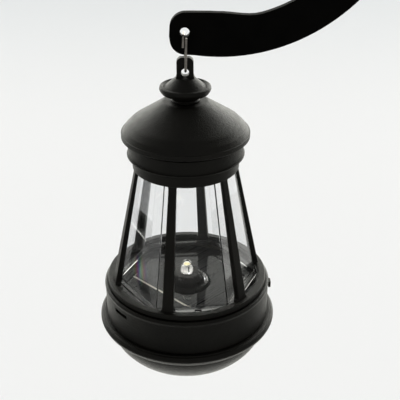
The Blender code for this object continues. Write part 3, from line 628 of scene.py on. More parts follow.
NECK_R = 5.6
RIM_Z = 135.15
SPIGOT_R = 3.1
SPIGOT_Z = 126.2
BASE_Z = 130.4
TAB_WIDTH = 6.9
TAB_THICK = 3.2
TAB_HOLE_R = 1.6
TAB_HOLE_Z = 142.6
PILOT_R = 0.95
PILOT_TOP_Z = 134.0
CROWN_Z = 140.7


def build_finial(plastic):
    """Knob with a spigot, a rolled rim and a domed crown that grows into the flat hanging tab."""
    rim_r = radius("finial")
    tab_top = height("finial")
    outline = rounded([
        (0, PILOT_TOP_Z), (PILOT_R, PILOT_TOP_Z), (PILOT_R, SPIGOT_Z),
        (SPIGOT_R, SPIGOT_Z), (SPIGOT_R, BASE_Z),
        (NECK_R + 0.35, BASE_Z, 0.15), (NECK_R + 0.35, BASE_Z + 0.5, 0.15), (NECK_R, BASE_Z + 0.9, 0.3),
        (NECK_R + 0.1, BASE_Z + 2.0, 1.6), (rim_r - 2.3, RIM_Z - 1.9, 1.0),
        (rim_r - 1.35, RIM_Z - 1.35, 0.12),
        (rim_r - 0.95, RIM_Z - 1.30, 0.12), (rim_r - 0.35, RIM_Z - 0.40, 0.5), (rim_r, RIM_Z + 0.35, 0.5),
        (rim_r - 0.25, RIM_Z + 1.5, 0.5), (rim_r - 1.1, RIM_Z + 1.85, 0.3), (rim_r - 1.9, RIM_Z + 1.05, 0.08),
        (4.2, 140.0, 1.5), (2.4, CROWN_Z), (0, CROWN_Z)], steps=6)
    body = turned("finial_body", outline)
    half = TAB_WIDTH / 2
    tab = prism("tab_tool", rounded([
        (-half - 0.5, RIM_Z + 1.0), (half + 0.5, RIM_Z + 1.0), (half + 0.4, 140.2, 0.8), (half, 141.6, 1.5),
        (half, tab_top, 2.0), (-half, tab_top, 2.0), (-half, 141.6, 1.5), (-half - 0.4, 140.2, 0.8)],
        steps=8), TAB_THICK)
    combine(tab, [cross_rod("tab_hole_tool", TAB_HOLE_R, TAB_HOLE_Z)], "DIFFERENCE")
    soften(tab, 0.35)
    combine(body, [tab], "UNION")
    dress(body, plastic, "lantern", ["finial"])


SNAP_LEG_ANGLES = (0.0, 120.0, 240.0)
SNAP_LEG_R = 17.0
SNAP_LEG_HALF_WIDTH = 2.5
SNAP_LEG_TOP_Z = 114.0
SNAP_NOSE_Z = (104.1, 105.1)
SNAP_RING_R = 17.5        # bore of the collar and of the hoop, which the snap legs pass
BRIM_Z = (115.0, 117.1)
COLLAR_BOTTOM_Z = 107.0
COLLAR_STEP_Z = 113.6
COLLAR_TOP_Z = 114.7
COLLAR_NECK_R = 23.9
COLLAR_WALL = 1.2


def build_roof(plastic):
    """Cone with a rounded brim, an inner sleeve and the snap legs that hold collar and cage."""
    brim_r = radius("roof")
    top = BASE_Z - GAP
    bore_r = SPIGOT_R + GAP
    ceiling = SPIGOT_Z + 0.2
    sleeve = (SNAP_LEG_R - 1.4, SNAP_LEG_R + 0.2)
    outline = rounded([
        (bore_r, top), (9.3, top + 0.3, 2.5), (22.8, 121.6, 8.0), (25.3, 119.1, 2.5),
        (brim_r - 0.50, BRIM_Z[1] + 0.1, 0.12), (brim_r, BRIM_Z[1], 0.15), (brim_r, BRIM_Z[0] + 0.2, 0.2),
        (brim_r - 0.3, BRIM_Z[0]), (24.4, BRIM_Z[0]), (21.1, 118.9, 2.0),
        (sleeve[1], 121.9), (sleeve[1], SNAP_LEG_TOP_Z - 1.0), (sleeve[0], SNAP_LEG_TOP_Z - 1.0),
        (sleeve[0], 122.9), (9.0, 127.4), (6.5, ceiling), (bore_r, ceiling)],
        steps=10)
    roof = turned("roof_shell", outline)
    legs = side_blocks("leg_tool", (SNAP_LEG_R - 1.2, SNAP_LEG_R), SNAP_LEG_HALF_WIDTH,
                       (SNAP_NOSE_Z[0], SNAP_LEG_TOP_Z), SNAP_LEG_ANGLES)
    noses = side_blocks("nose_tool", (SNAP_LEG_R - 0.5, SNAP_LEG_R + 1.2), SNAP_LEG_HALF_WIDTH,
                        SNAP_NOSE_Z, SNAP_LEG_ANGLES)
    combine(roof, legs + noses, "UNION")
    nick = side_block("gate_nick_tool", (brim_r - 0.5, brim_r + 1.0), 0.5,
                      (BRIM_Z[0] - 0.2, BRIM_Z[0] + 0.35), 0)
    combine(roof, [nick], "DIFFERENCE")
    dress(roof, plastic, "lantern", ["roof"])


def build_collar(plastic):
    """Band with a small lip at its foot and a step near its top."""
    lip_r = radius("collar")
    wall_r = lip_r - 0.5
    low = COLLAR_BOTTOM_Z
    outline = rounded([
        (SNAP_RING_R, low), (lip_r - 0.15, low, 0.1), (lip_r, low + 0.15, 0.08), (lip_r, low + 0.55, 0.08),
        (wall_r, low + 0.6, 0.1), (wall_r, COLLAR_STEP_Z, 0.35),
        (COLLAR_NECK_R, COLLAR_STEP_Z, 0.1), (COLLAR_NECK_R, COLLAR_TOP_Z, 0.2),
        (COLLAR_NECK_R - COLLAR_WALL, COLLAR_TOP_Z), (COLLAR_NECK_R - COLLAR_WALL, low + COLLAR_WALL),
        (SNAP_RING_R, low + COLLAR_WALL)])
    dress(turned("collar_band", outline), plastic, "lantern", ["collar"])


# ---------------------------------------------------------------- cage

HOOP_R = 22.7
HOOP_TOP_Z = 106.7
HOOP_BOTTOM_Z = 101.2
HOOP_WALL = 1.6
HOOP_TOP_WALL = 1.2
RIB_COUNT = 6
RIB_FIRST_ANGLE = -13.5
RIB_TOP_R = 22.4
RIB_FOOT_R = 33.9
RIB_TOP_WIDTH = 3.2
RIB_FOOT_WIDTH = 4.8
RIB_TOP_DEPTH = 1.5
RIB_FOOT_DEPTH = 2.8
RIB_FOOT_Z = 46.75
RIB_EDGE_R = 0.4
RIB_SLOPE_Z = 47.0        # height at which a rib's outer face reaches RIB_FOOT_R
RING_R = 35.9
RING_TOP_Z = 47.8
RING_BOTTOM_Z = 45.4
RING_OPENING_R = 32.8
RING_LIP_R = 31.9
RING_LIP_Z = (46.6, 47.25)
SKIRT_R = 35.0
SKIRT_INNER_R = 33.6
SKIRT_BOTTOM_Z = 39.6
LATCH_ANGLES = (-50.5, 129.5)
LATCH_Z = 40.4
WINDOW_WIDTH = 8.4
WINDOW_HEIGHT = 1.7
SWITCH_ANGLE = 92.0


def switch_pocket(name):
    """Space behind the switch that is cut out of the cage and of the tray."""
    return side_block(name, (31.0, 36.0), 5.2, (33.0, 42.4), SWITCH_ANGLE)


def rib(name, angle):
    """One slanted rib with rounded edges, which flares where it meets the ring and the hoop."""
    slope = (RIB_FOOT_R - RIB_TOP_R) / (HOOP_BOTTOM_Z - RIB_SLOPE_Z)
    top_z = HOOP_BOTTOM_Z + 2.5
    levels = [(RIB_FOOT_Z, 0.8), (RING_TOP_Z + 0.1, 0.6), (RING_TOP_Z + 0.4, 0.28), (RING_TOP_Z + 0.9, 0.08),
              (RING_TOP_Z + 1.6, 0.0), (HOOP_BOTTOM_Z - 1.2, 0.0), (HOOP_BOTTOM_Z - 0.5, 0.08),
              (HOOP_BOTTOM_Z + 0.1, 0.3), (top_z, 0.3)]
    loops = []
    for z, flare in levels:
        share = (z - RIB_FOOT_Z) / (top_z - RIB_FOOT_Z)
        outer = RIB_TOP_R + (HOOP_BOTTOM_Z - z) * slope
        half = (RIB_FOOT_WIDTH + (RIB_TOP_WIDTH - RIB_FOOT_WIDTH) * share) / 2 + flare
        inner = outer - (RIB_FOOT_DEPTH + (RIB_TOP_DEPTH - RIB_FOOT_DEPTH) * share)
        section = rounded([(-half, -outer, RIB_EDGE_R), (half, -outer, RIB_EDGE_R),
                           (half, -inner, RIB_EDGE_R), (-half, -inner, RIB_EDGE_R)], steps=4)
        loops.append([(x, y, z) for x, y in section])
    made = lofted(name, loops)
    made.data.transform(Matrix.Rotation(math.radians(angle), 4, "Z"))
    return made


def build_cage(plastic):
    """Hoop, ribs and ring in one moulding, with a skirt that hooks into the base wall's windows."""
    hoop_inner_r = HOOP_R - HOOP_WALL
    shelf_z = HOOP_TOP_Z - HOOP_TOP_WALL
    cage = turned("cage_moulding", rounded([
        (hoop_inner_r, HOOP_BOTTOM_Z, 0.3), (HOOP_R, HOOP_BOTTOM_Z, 0.45), (HOOP_R, HOOP_TOP_Z),
        (SNAP_RING_R, HOOP_TOP_Z), (SNAP_RING_R, shelf_z), (hoop_inner_r, shelf_z)]))
    parts = [turned("ring_tool", rounded([
        (SKIRT_INNER_R, SKIRT_BOTTOM_Z), (SKIRT_R, SKIRT_BOTTOM_Z, 0.3), (SKIRT_R, RING_BOTTOM_Z, 0.3),
        (RING_R, RING_BOTTOM_Z, 0.35), (RING_R, RING_TOP_Z, 0.6), (RING_OPENING_R, RING_TOP_Z, 0.25),
        (RING_OPENING_R, RING_LIP_Z[1], 0.2), (RING_LIP_R, RING_LIP_Z[1], 0.2), (RING_LIP_R, RING_LIP_Z[0]),
        (SKIRT_INNER_R, RING_LIP_Z[0])]))]
    for i in range(RIB_COUNT):
        parts.append(rib(f"rib_tool_{i}", RIB_FIRST_ANGLE + 360 / RIB_COUNT * i))
    parts += side_blocks("hook_tool", (SKIRT_R - 0.6, SKIRT_R + 1.0), WINDOW_WIDTH / 2 - GAP,
                         about(LATCH_Z, WINDOW_HEIGHT / 2 - GAP), LATCH_ANGLES)
    combine(cage, parts, "UNION")
    combine(cage, [switch_pocket("pocket_tool")], "DIFFERENCE")
    dress(cage, plastic, "lantern", ["cage"])


# ---------------------------------------------------------------- lens

LENS_CORNER_ANGLE = -24.5
LENS_FOOT_R = 31.0
LENS_TOP_R = 20.4
LENS_WALL = 0.7
LENS_EDGE_R = 0.35
LENS_INNER_EDGE_R = 0.25
FLANGE_R = 33.3
FLANGE_BOTTOM_Z = 45.0
FLANGE_TOP_Z = 46.3


def hexagon(corner_r, z, edge_r):
    """Level hexagon with rounded corners, turned as the chamber stands."""
    corners = [(*polar(corner_r, LENS_CORNER_ANGLE + 60 * i), edge_r) for i in range(6)]
    return [(x, y, z) for x, y in rounded(corners, steps=8)]


def circle_like(loop, r, z):
    """Points of a circle in the same directions as a loop's points."""
    return [(r * x / math.hypot(x, y), r * y / math.hypot(x, y), z) for x, y, _ in loop]


def build_lens():
    """Hollow tapered six-sided chamber, open below, on a round flange."""
    top_z = height("lens")
    taper = (LENS_FOOT_R - LENS_TOP_R) / (top_z - FLANGE_TOP_Z)
    wall_at_corner = LENS_WALL * 1.15
    inner_foot_r = LENS_FOOT_R - wall_at_corner + taper * (FLANGE_TOP_Z - FLANGE_BOTTOM_Z)
    inner_top_r = LENS_TOP_R - wall_at_corner + taper * LENS_WALL

    def outside(z, grow=0.0):
        return hexagon(LENS_TOP_R + (top_z - z) * taper + grow, z, LENS_EDGE_R)

    foot = outside(FLANGE_TOP_Z, 0.3)
    loops = [circle_like(foot, FLANGE_R - 0.2, FLANGE_BOTTOM_Z),
             circle_like(foot, FLANGE_R, FLANGE_BOTTOM_Z + 0.2),
             circle_like(foot, FLANGE_R, FLANGE_TOP_Z - 0.2), circle_like(foot, FLANGE_R - 0.2, FLANGE_TOP_Z),
             foot, outside(FLANGE_TOP_Z + 0.1, 0.12), outside(FLANGE_TOP_Z + 0.3, 0.02),
             outside(FLANGE_TOP_Z + 0.7), outside(top_z - 0.5), outside(top_z - 0.15, -0.15),
             outside(top_z, -0.55)]
    inside = [hexagon(inner_top_r - 0.3, top_z - LENS_WALL, LENS_INNER_EDGE_R),
              hexagon(inner_top_r, top_z - LENS_WALL - 0.3, LENS_INNER_EDGE_R),
              hexagon(inner_foot_r, FLANGE_BOTTOM_Z, LENS_INNER_EDGE_R)]
    lens = lofted("clear_chamber", inside + loops)
    lens.visible_shadow = False
    dress(lens, clear_moulding(), "lantern", ["lens"])


# ---------------------------------------------------------------- base

WALL_INNER_R = 35.3
WALL_TOP_Z = 45.1
LEDGE_R = 32.6
LEDGE_Z = (34.6, 36.0)
WALL_CUT_R = (34.0, 39.0)     # reach of the tools that cut openings through the wall
KNOB_STEM = 1.8
SWITCH_Z = 40.0
SWITCH_TRAVEL = 2.0
BAYONET_ANGLES = (30.0, 150.0, 270.0)
LUG_HALF_WIDTH = 4.0


def build_wall(plastic):
    """Base wall with a flared top, latch windows, the switch's slot and the bayonet's upper lugs."""
    r = radius("base_wall") - 0.3
    bottom = height("base_wall", top=False)
    wall = turned("wall_ring", rounded([
        (WALL_INNER_R, bottom), (r, bottom, 0.3), (r, WALL_TOP_Z - 2.1, 0.8),
        (r + 0.3, WALL_TOP_Z - 0.8, 0.5),
        (36.6, WALL_TOP_Z, 0.4), (35.9, WALL_TOP_Z, 0.2), (WALL_INNER_R, WALL_TOP_Z - 0.7),
        (WALL_INNER_R, LEDGE_Z[1]), (LEDGE_R, LEDGE_Z[1]), (LEDGE_R, LEDGE_Z[0]),
        (WALL_INNER_R, LEDGE_Z[0])]))
    lugs = side_blocks("wall_lug_tool", (33.8, WALL_INNER_R + 0.5), LUG_HALF_WIDTH, (30.5, 31.6),
                       BAYONET_ANGLES)
    combine(wall, lugs, "UNION")
    windows = side_blocks("window_tool", WALL_CUT_R, WINDOW_WIDTH / 2, about(LATCH_Z, WINDOW_HEIGHT / 2),
                          LATCH_ANGLES)
    slot = side_block("slot_tool", WALL_CUT_R, (KNOB_STEM + SWITCH_TRAVEL) / 2 + GAP,
                      about(SWITCH_Z, KNOB_STEM / 2 + GAP), SWITCH_ANGLE, shift=SWITCH_TRAVEL / 2)
    combine(wall, windows + [slot], "DIFFERENCE")
    dress(wall, plastic, "lantern", ["base_wall"])


BOWL_R = 36.5
BOWL_DEPTH = 24.0
BOWL_POWER = 1.05
BOWL_WALL = 2.9
BEAD_Z = 27.5
BOWL_SHOULDER_Z = 28.6
BOWL_SPIGOT_R = 33.4
BOWL_SPIGOT_WALL = 1.6
BOWL_SPIGOT_TOP_Z = 33.6


def bowl_curve(r, depth, bottom, angles):
    """Rounded profile from the bowl's lowest point, at angle 0, to its full radius at 90."""
    points = []
    for angle in angles:
        out = math.sin(math.radians(angle)) ** BOWL_POWER
        down = max(math.cos(math.radians(angle)), 0.0) ** BOWL_POWER
        points.append((r * out, bottom + depth * (1 - down)))
    return points


def build_bowl(plastic):
    """Bowl with a bead around its rim and a spigot that carries the bayonet's lower lugs."""
    bead_r = radius("base_bowl")
    spigot_inner_r = BOWL_SPIGOT_R - BOWL_SPIGOT_WALL
    outside = bowl_curve(BOWL_R, BOWL_DEPTH, 0.0, range(0, 88, 3))
    inside = bowl_curve(BOWL_R - BOWL_WALL, BOWL_DEPTH - 1.5, 2.0, range(90, -1, -6))
    rim = rounded([
        outside[-1], (BOWL_R + 0.1, 23.4, 0.5), (38.7, 24.1, 0.5), (39.6, 25.0, 0.5),
        (bead_r, BEAD_Z - 1.2, 0.6), (bead_r, BEAD_Z - 0.4, 0.6), (39.3, 28.2, 0.5), (38.5, 28.35, 0.1),
        (38.3, BOWL_SHOULDER_Z, 0.1), (37.8, BOWL_SHOULDER_Z), (BOWL_SPIGOT_R, BOWL_SHOULDER_Z),
        (BOWL_SPIGOT_R, BOWL_SPIGOT_TOP_Z), (spigot_inner_r, BOWL_SPIGOT_TOP_Z),
        (spigot_inner_r, BOWL_SHOULDER_Z - 1.0), inside[0]],
        closed=False)
    bowl = turned("bowl_shell", outside[:-1] + rim[:-1] + inside)
    lugs = side_blocks("bowl_lug_tool", (BOWL_SPIGOT_R - 0.6, 34.8), LUG_HALF_WIDTH, (31.9, 33.1),
                       BAYONET_ANGLES)
    combine(bowl, lugs, "UNION")
    dress(bowl, plastic, "bowl", ["base_bowl"])


KNOB_OUTER_R = 38.65
KNOB_HALF_WIDTH = 1.7
KNOB_HALF_HEIGHT = 1.5
RIDGE_SPACING = 1.2


def build_knob(plastic):
    """Slide switch knob with three grip ridges, on a stem through the wall's slot."""
    tall = about(SWITCH_Z, KNOB_HALF_HEIGHT)
    knob = side_block("switch_slider", (37.6, KNOB_OUTER_R - 0.3), KNOB_HALF_WIDTH, tall, SWITCH_ANGLE)
    ridges = []
    for i in range(3):
        ridges.append(side_block(f"ridge_tool_{i}", (38.0, KNOB_OUTER_R), 0.32, tall, SWITCH_ANGLE,
                                 shift=RIDGE_SPACING * (i - 1)))
    ridges.append(side_block("stem_tool", (34.9, 38.0), KNOB_STEM / 2, about(SWITCH_Z, KNOB_STEM / 2),
                             SWITCH_ANGLE))
    combine(knob, ridges, "UNION")
    soften(knob, 0.12, steps=2)
    dress(knob, plastic, "switch", ["switch_knob"])


# ---------------------------------------------------------------- panel and lamp

PANEL_HOLE_R = 11.0
BONDED = 0.05             # how far the cover sinks into the cell, so that no air shows between
BUS_BAR = ((-24.5, 3.8), (1.9, -21.6))
BUS_BAR_WIDTH = 1.0
WELL_R = 7.7
WELL_RING_R = 9.9
WELL_RING_TOP_Z = 43.4
DECK_Z = (38.1, 39.9)
TRAY_BORE_R = 2.6
TRAY_R = 33.3
TRAY_FLOOR_R = 31.2
TRAY_RIM_Z = (36.3, 43.6)
BOSS_R = 2.4
BOSS_BORE_R = 1.15
LEAD_HOLE_R = 1.2
WELL_GLINT = 0.012


def boss_places():
    """Plan position and lower end of each screw boss: two for the cradle, four for the board."""
    places = []
    for side in (-1, 1):
        places.append((0.0, side * 12.0, 32.5))
        for end in (-1, 1):
            places.append((end * 14.0, side * 16.0, 36.4))
    return places


def build_tray(plastic):
    """Tray with a rim, a raised ring around the lamp's well, screw bosses and two lead holes."""
    under, deck = DECK_Z
    tray = turned("tray_moulding", rounded([
        (TRAY_BORE_R, under), (TRAY_FLOOR_R, under), (TRAY_FLOOR_R, TRAY_RIM_Z[0]), (TRAY_R, TRAY_RIM_Z[0]),
        (TRAY_R, TRAY_RIM_Z[1]), (TRAY_FLOOR_R, TRAY_RIM_Z[1], 0.3), (TRAY_FLOOR_R, deck),
        (WELL_RING_R, deck), (WELL_RING_R, WELL_RING_TOP_Z - 0.5, 0.5),
        (WELL_R + 0.7, WELL_RING_TOP_Z, 0.2), (WELL_R, WELL_RING_TOP_Z - 0.4, 0.3), (WELL_R, deck, 0.4),
        (TRAY_BORE_R, deck)]))
    bosses = [rod(f"boss_tool_{i}", BOSS_R, (low, under + 0.8), x, y, 24)
              for i, (x, y, low) in enumerate(boss_places())]
    combine(tray, bosses, "UNION")
    holes = [rod(f"boss_hole_tool_{i}", BOSS_BORE_R, (low - 1, under + 0.6), x, y, 16)
             for i, (x, y, low) in enumerate(boss_places())]
    for side in (-1, 1):
        holes.append(rod(f"lead_hole_tool_{side + 1}", LEAD_HOLE_R, (under - 1, deck + 1), 18.0,
                         side * 4.0, 24))
    holes.append(switch_pocket("tray_pocket_tool"))
    combine(tray, holes, "DIFFERENCE")
    dress(tray, plastic, "lantern", ["panel_tray"])
    accent_light("well_glint", [tray], (7, 0, 42), (-6, 24, 47), 9, WELL_GLINT)


def build_panel():
    """Ring-shaped cell under a bonded clear cover, on its backing board."""
    r = radius("solar_cell")
    cell = silicon()
    epoxy = clear_epoxy()
    backing = plain_detail("glass_epoxy", (0.04, 0.10, 0.05), 0.5, 0.4, 0.01)
    layers = (("cell_disc", "solar_cell", cell, "solar_cell", 0.03),
              ("cover_disc", "panel_cover", epoxy, "clear_epoxy", 0.12),
              ("backing_disc", "panel_board", backing, "panel_board", 0.1))
    for name, cad_name, mat, slot, edge in layers:
        low = height(cad_name, top=False)
        high = height(cad_name)
        if cad_name == "panel_cover":
            low = height("solar_cell") - BONDED
        section = [(PANEL_HOLE_R, low), (r, low), (r, high, edge), (PANEL_HOLE_R, high, edge)]
        disc = turned(name, rounded(section, steps=3))
        if cad_name == "panel_cover":
            disc.visible_shadow = False
        dress(disc, mat, "lantern", [cad_name])
    build_bus_bar(height("solar_cell"))


def build_bus_bar(cell_top):
    """Bright solder ribbon along one side of the cell."""
    start, end = Vector(BUS_BAR[0]), Vector(BUS_BAR[1])
    strip = block("cell_bus_bar", (0, (end - start).length), about(0.0, BUS_BAR_WIDTH / 2),
                  (cell_top - 0.02, cell_top + 0.08))
    turn = math.atan2(end.y - start.y, end.x - start.x)
    place = Matrix.Translation((start.x * MM, start.y * MM, 0))
    strip.data.transform(place @ Matrix.Rotation(turn, 4, "Z"))
    soften(strip, 0.03, steps=2)
    solder = drawn_metal("solder_ribbon", (0.98, 0.95, 0.88), 0.25, (0.62, 0.59, 0.52))
    dress(strip, solder, "lantern")


HOLDER_BORE_R = 2.3
HOLDER_TOP_R = 5.6
HOLDER_SHOULDER_Z = 44.9
LED_R = 2.4
LED_FLANGE_HEIGHT = 1.9
LED_CUP_HEIGHT = 3.5
BOND_WIRE_R = 0.03
LAMP_SOFTBOX = 1.1


def build_lamp(plastic):
    """Holder, clear LED and the metal inside it, with the softbox that only the LED catches."""
    build_holder(plastic)
    pieces = [build_dome()] + build_lead_frame()
    accent_light("lamp_softbox", pieces, (0, 0, 50), (-160, -200, 270), 120, LAMP_SOFTBOX)


def build_holder(plastic):
    top = height("led_holder")
    r = radius("led_holder")
    bottom = height("led_holder", top=False)
    holder = turned("lamp_holder", rounded([
        (HOLDER_BORE_R, bottom), (r, bottom, 0.2), (r, HOLDER_SHOULDER_Z, 0.3), (HOLDER_TOP_R, top, 0.35),
        (HOLDER_BORE_R, top, 0.2)]))
    dress(holder, plastic, "lantern", ["led_holder"])


def build_dome():
    """Clear body of the LED: a flange, a sloped shoulder and a domed cylinder."""
    low = height("led", top=False)
    high = height("led")
    flange_r = radius("led")
    dome = arc((0, high - LED_R), LED_R, 0, 90, 16)
    dome[-1] = (0.0, high)
    outline = rounded([(0, low), (flange_r, low, 0.3), (flange_r, low + LED_FLANGE_HEIGHT, 0.7),
                       (LED_R, low + LED_FLANGE_HEIGHT + 0.5, 0.25), dome[0]], closed=False, steps=5)
    led = turned("lamp_dome", outline + dome[1:], 64)
    led.visible_shadow = False
    dress(led, clear_epoxy(), "lantern", ["led"])
    return led


def build_lead_frame():
    """Anvil with its cup, post, phosphor and bond wire, as seen through the LED's clear body."""
    led_low = height("led", top=False)
    silver = plain_detail("silver_lead_frame", (0.88, 0.86, 0.82), 0.25, 0.2, 0.01, metallic=0.35, vary=0.08)
    cup_z = led_low + LED_CUP_HEIGHT
    anvil = block("lamp_anvil", (-1.95, 0.25), (-0.35, 0.35), (led_low + 0.1, cup_z - 0.2))
    cup = turned("cup_tool", rounded([(0, cup_z - 0.5), (0.75, cup_z - 0.5), (1.15, cup_z + 0.35, 0.05),
                                      (0.95, cup_z + 0.35, 0.05), (0.55, cup_z - 0.15),
                                      (0, cup_z - 0.15)]), 32)
    combine(anvil, [cup], "UNION")
    post = block("lamp_post", (0.75, 1.95), (-0.3, 0.3), (led_low + 0.1, cup_z - 0.3))
    for metal in (anvil, post):
        soften(metal, 0.06, steps=2)
        dress(metal, silver, "lantern")
    glow = turned("lamp_phosphor", rounded([(0, cup_z - 0.12), (0.56, cup_z - 0.12), (0.88, cup_z + 0.28),
                                            (0.5, cup_z + 0.38, 0.3), (0, cup_z + 0.42)]), 32)
    dress(glow, plain_detail("phosphor", (0.86, 0.74, 0.42), 0.5, 0.15, 0.005), "lantern")
    bond = swept("lamp_bond_wire", [(0.3, 0, cup_z + 0.3), (0.6, 0, cup_z + 0.75), (1.0, 0, cup_z + 0.6),
                                    (1.25, 0, cup_z - 0.25)], BOND_WIRE_R, 8)
    dress(bond, drawn_metal("gold_wire", (0.95, 0.72, 0.34), 0.15), "lantern")
    return [anvil, post, glow, bond]


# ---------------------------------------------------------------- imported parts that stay

def dress_packed_parts():
    """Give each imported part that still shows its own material."""
    steel = drawn_metal("screw_steel", (0.62, 0.61, 0.59), 0.26)
    nickel = drawn_metal("nickel_plate", (0.72, 0.69, 0.62), 0.22)
    rubber = plain_detail("soft_rubber", (0.022, 0.022, 0.022), 0.70, 0.3, 0.01)
    red = plain_detail("red_insulation", (0.42, 0.020, 0.018), 0.36, 0.5, 0.004)
    black = plain_detail("black_insulation", (0.018, 0.018, 0.018), 0.36, 0.5, 0.004)
    nylon = plain_detail("black_nylon", (0.035, 0.035, 0.034), 0.5, 0.35, 0.01)
    materials = {
        "finial_screw": steel, "finial_washer": steel,
        "led_lead_long": nickel, "led_lead_short": nickel, "positive_contact": nickel,
        "negative_spring": nickel, "lens_seal": rubber, "bowl_seal": rubber,
        "circuit_board": printed_board(),
        "driver_chip": plain_detail("moulded_resin", (0.020, 0.020, 0.021), 0.55, 0.2, 0.008),
        "inductor": plain_detail("ferrite_grain", (0.050, 0.046, 0.042), 0.65, 0.15, 0.015),
        "battery": plain_detail("shrink_sleeve", (0.045, 0.22, 0.11), 0.30, 1.5, 0.02),
        "battery_cradle": nylon, "switch_body": nylon,
        "battery_wire_plus": red, "panel_wire_plus": red, "switch_wire_feed": red,
        "battery_wire_minus": black, "panel_wire_minus": black, "switch_wire_return": black,
    }
    for i in range(2):
        materials[f"cradle_screw_{i + 1}"] = steel
    for i in range(4):
        materials[f"board_screw_{i + 1}"] = steel
    for name, mat in materials.items():
        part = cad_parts[name]
        part.data.materials.clear()
        part.data.materials.append(mat)


# ---------------------------------------------------------------- studio

CAMERA_PLACE = (0.0060, -0.3074, 0.2466)
CAMERA_DOWN = 27.87
CAMERA_LENS = 71.6
FLOOR_DROP = 0.30
FLOOR_HALF = 6.0
FLOOR_SUN = 1.9
FLOOR_SUN_WIDTH = 50          # degrees across, which keeps the light on the floor soft
FLOOR_TONES = ((0.84, 0.845, 0.86, 1), (0.88, 0.88, 0.895, 1))
# floor colour far behind: painted shade where the light falls off
FLOOR_FAR_SHADE = (0.70, 0.725, 0.75, 1)
FLOOR_MIRRORED = (0.12, 0.12, 0.12, 1)
PALE = (0.86, 0.865, 0.87, 1)
WALL_GLOW = 0.9
DIM_GLOW = 0.20
BLUE_SHARE = 0.93             # blue of the surroundings' light, as a share of its red and green
SOFTBOXES = (                 # direction, spread in degrees, glow
    ((-0.50, 0.84, 0.18), 32, 2.0),
    ((0.50, 0.84, 0.18), 32, 2.9),
    ((-0.05, 0.32, -0.94), 50, 1.4),
)


def build_camera():
    data = bpy.data.cameras.new("camera")
    data.lens = CAMERA_LENS
    data.sensor_width = 36.0
    camera = bpy.data.objects.new("camera", data)
    camera.location = FOOT + Vector(CAMERA_PLACE)
    camera.rotation_euler = (math.radians(90 - CAMERA_DOWN), 0, 0)
    bpy.context.collection.objects.link(camera)
    bpy.context.scene.camera = camera


def selective_light(name, kind, pieces, power):
    """Light that only some pieces catch."""
    lit_only = bpy.data.collections.new(f"lit_by_{name}")
    for piece in pieces:
        lit_only.objects.link(piece)
    data = bpy.data.lights.new(name, kind)
    data.energy = power
    light = bpy.data.objects.new(name, data)
    light.light_linking.receiver_collection = lit_only
    bpy.context.collection.objects.link(light)
    return light


def build_floor():
    """Pale floor with its own soft sun, painted darker and cooler far behind as shade. Its near half is dim
    in mirrored rays, so they stay dark.
    """
    bm = bmesh.new()
    bmesh.ops.create_grid(bm, x_segments=1, y_segments=1, size=FLOOR_HALF)
    floor = finish_mesh("floor", bm)
    floor.location.z = FOOT.z - FLOOR_DROP
    floor.visible_diffuse = False
    floor.visible_glossy = False
    mat, shader = new_material("pale_floor")
    cloud = node(mat, "ShaderNodeTexNoise", {"Scale": 0.7, "Detail": 2.0}).outputs["Fac"]
    pale = blend_colours(mat, cloud, *FLOOR_TONES)
    depth = node(mat, "ShaderNodeSeparateXYZ", {0: place_on(mat)}).outputs["Y"]
    # painted shade: the floor's colour darkens and cools far behind, where its light would fall off
    far_shade = remap(mat, depth, 0.8, 2.4, 0.0, 1.0, smooth=True)
    pale = blend_colours(mat, far_shade, pale, FLOOR_FAR_SHADE)
    mirrored = node(mat, "ShaderNodeLightPath").outputs["Glossy Depth"]
    mirrored = compute(mat, "MINIMUM", mirrored, 1.0)
    mirrored = compute(mat, "MULTIPLY", mirrored, remap(mat, depth, 0.0, 0.3, 1.0, 0.0))
    feed(mat, shader.inputs["Base Color"], blend_colours(mat, mirrored, pale, FLOOR_MIRRORED))
    shader.inputs["Roughness"].default_value = 0.7
    shader.inputs["Specular IOR Level"].default_value = 0.1
    floor.data.materials.append(mat)

    sun = selective_light("floor_sun", "SUN", [floor], FLOOR_SUN)
    sun.data.angle = math.radians(FLOOR_SUN_WIDTH)


def direction_lobe(world, where, aim, spread):
    """1 in one direction, fading to 0 at an angle from it, in degrees."""
    aim = Vector(aim).normalized()
    return remap(world, dot(world, where, aim), math.cos(math.radians(spread)), 1.0, 0.0, 1.0, smooth=True)


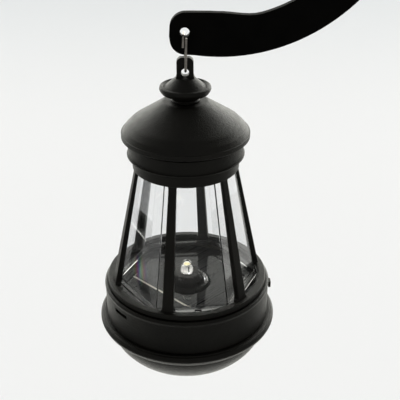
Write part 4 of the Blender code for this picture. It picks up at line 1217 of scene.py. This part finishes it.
def accent_light(name, pieces, aim, place, size, power):
    """Square softbox that only some pieces catch. Lengths are in millimetres."""
    light = selective_light(name, "AREA", pieces, power)
    light.data.size = size * MM
    target = FOOT + Vector(aim) * MM
    light.location = FOOT + Vector(place) * MM
    light.rotation_euler = (target - light.location).to_track_quat("-Z", "Y").to_euler()
    light.visible_camera = False
    light.visible_transmission = False


def build_world():
    """Dim surroundings with a bright wall low behind, two softboxes at its sides and one below."""
    world = bpy.data.worlds.new("studio")
    bpy.context.scene.world = world
    world.use_nodes = True
    back = world.node_tree.nodes["Background"]
    where = node(world, "ShaderNodeTexCoord").outputs["Generated"]
    parts = node(world, "ShaderNodeSeparateXYZ", {0: where})
    behind = remap(world, parts.outputs["Y"], 0.25, 0.88, 0.0, 1.0, smooth=True)
    low = remap(world, parts.outputs["Z"], 0.40, 0.80, 1.0, 0.0, smooth=True)
    high = remap(world, parts.outputs["Z"], -1.0, -0.10, 0.85, 1.0, smooth=True)
    wall = compute(world, "MULTIPLY", behind, compute(world, "MULTIPLY", low, high))
    light = compute(world, "MULTIPLY", wall, WALL_GLOW)
    for aim, spread, glow in SOFTBOXES:
        lobe = direction_lobe(world, where, aim, spread)
        light = compute(world, "ADD", light, compute(world, "MULTIPLY", lobe, glow))
    light = compute(world, "ADD", light, DIM_GLOW)
    blue = compute(world, "MULTIPLY", light, BLUE_SHARE)
    channels = {"Red": light, "Green": light, "Blue": blue}
    tinted = node(world, "ShaderNodeCombineColor", channels).outputs["Color"]
    seen = node(world, "ShaderNodeLightPath").outputs["Is Camera Ray"]
    feed(world, back.inputs["Color"], blend_colours(world, seen, tinted, PALE))


# ---------------------------------------------------------------- assembly

def main():
    plastic = moulded_plastic("black_moulding")
    build_camera()
    build_floor()
    build_world()
    build_bracket()
    build_link()
    build_finial(plastic)
    build_roof(plastic)
    build_collar(plastic)
    build_cage(plastic)
    build_lens()
    build_wall(plastic)
    build_bowl(plastic)
    build_knob(plastic)
    satin = moulded_plastic("satin_moulding", rough=0.22, specular=0.5, grain_depth=0.004)
    build_tray(satin)
    build_panel()
    build_lamp(satin)
    dress_packed_parts()
    bpy.context.scene.view_settings.view_transform = "Standard"


main()
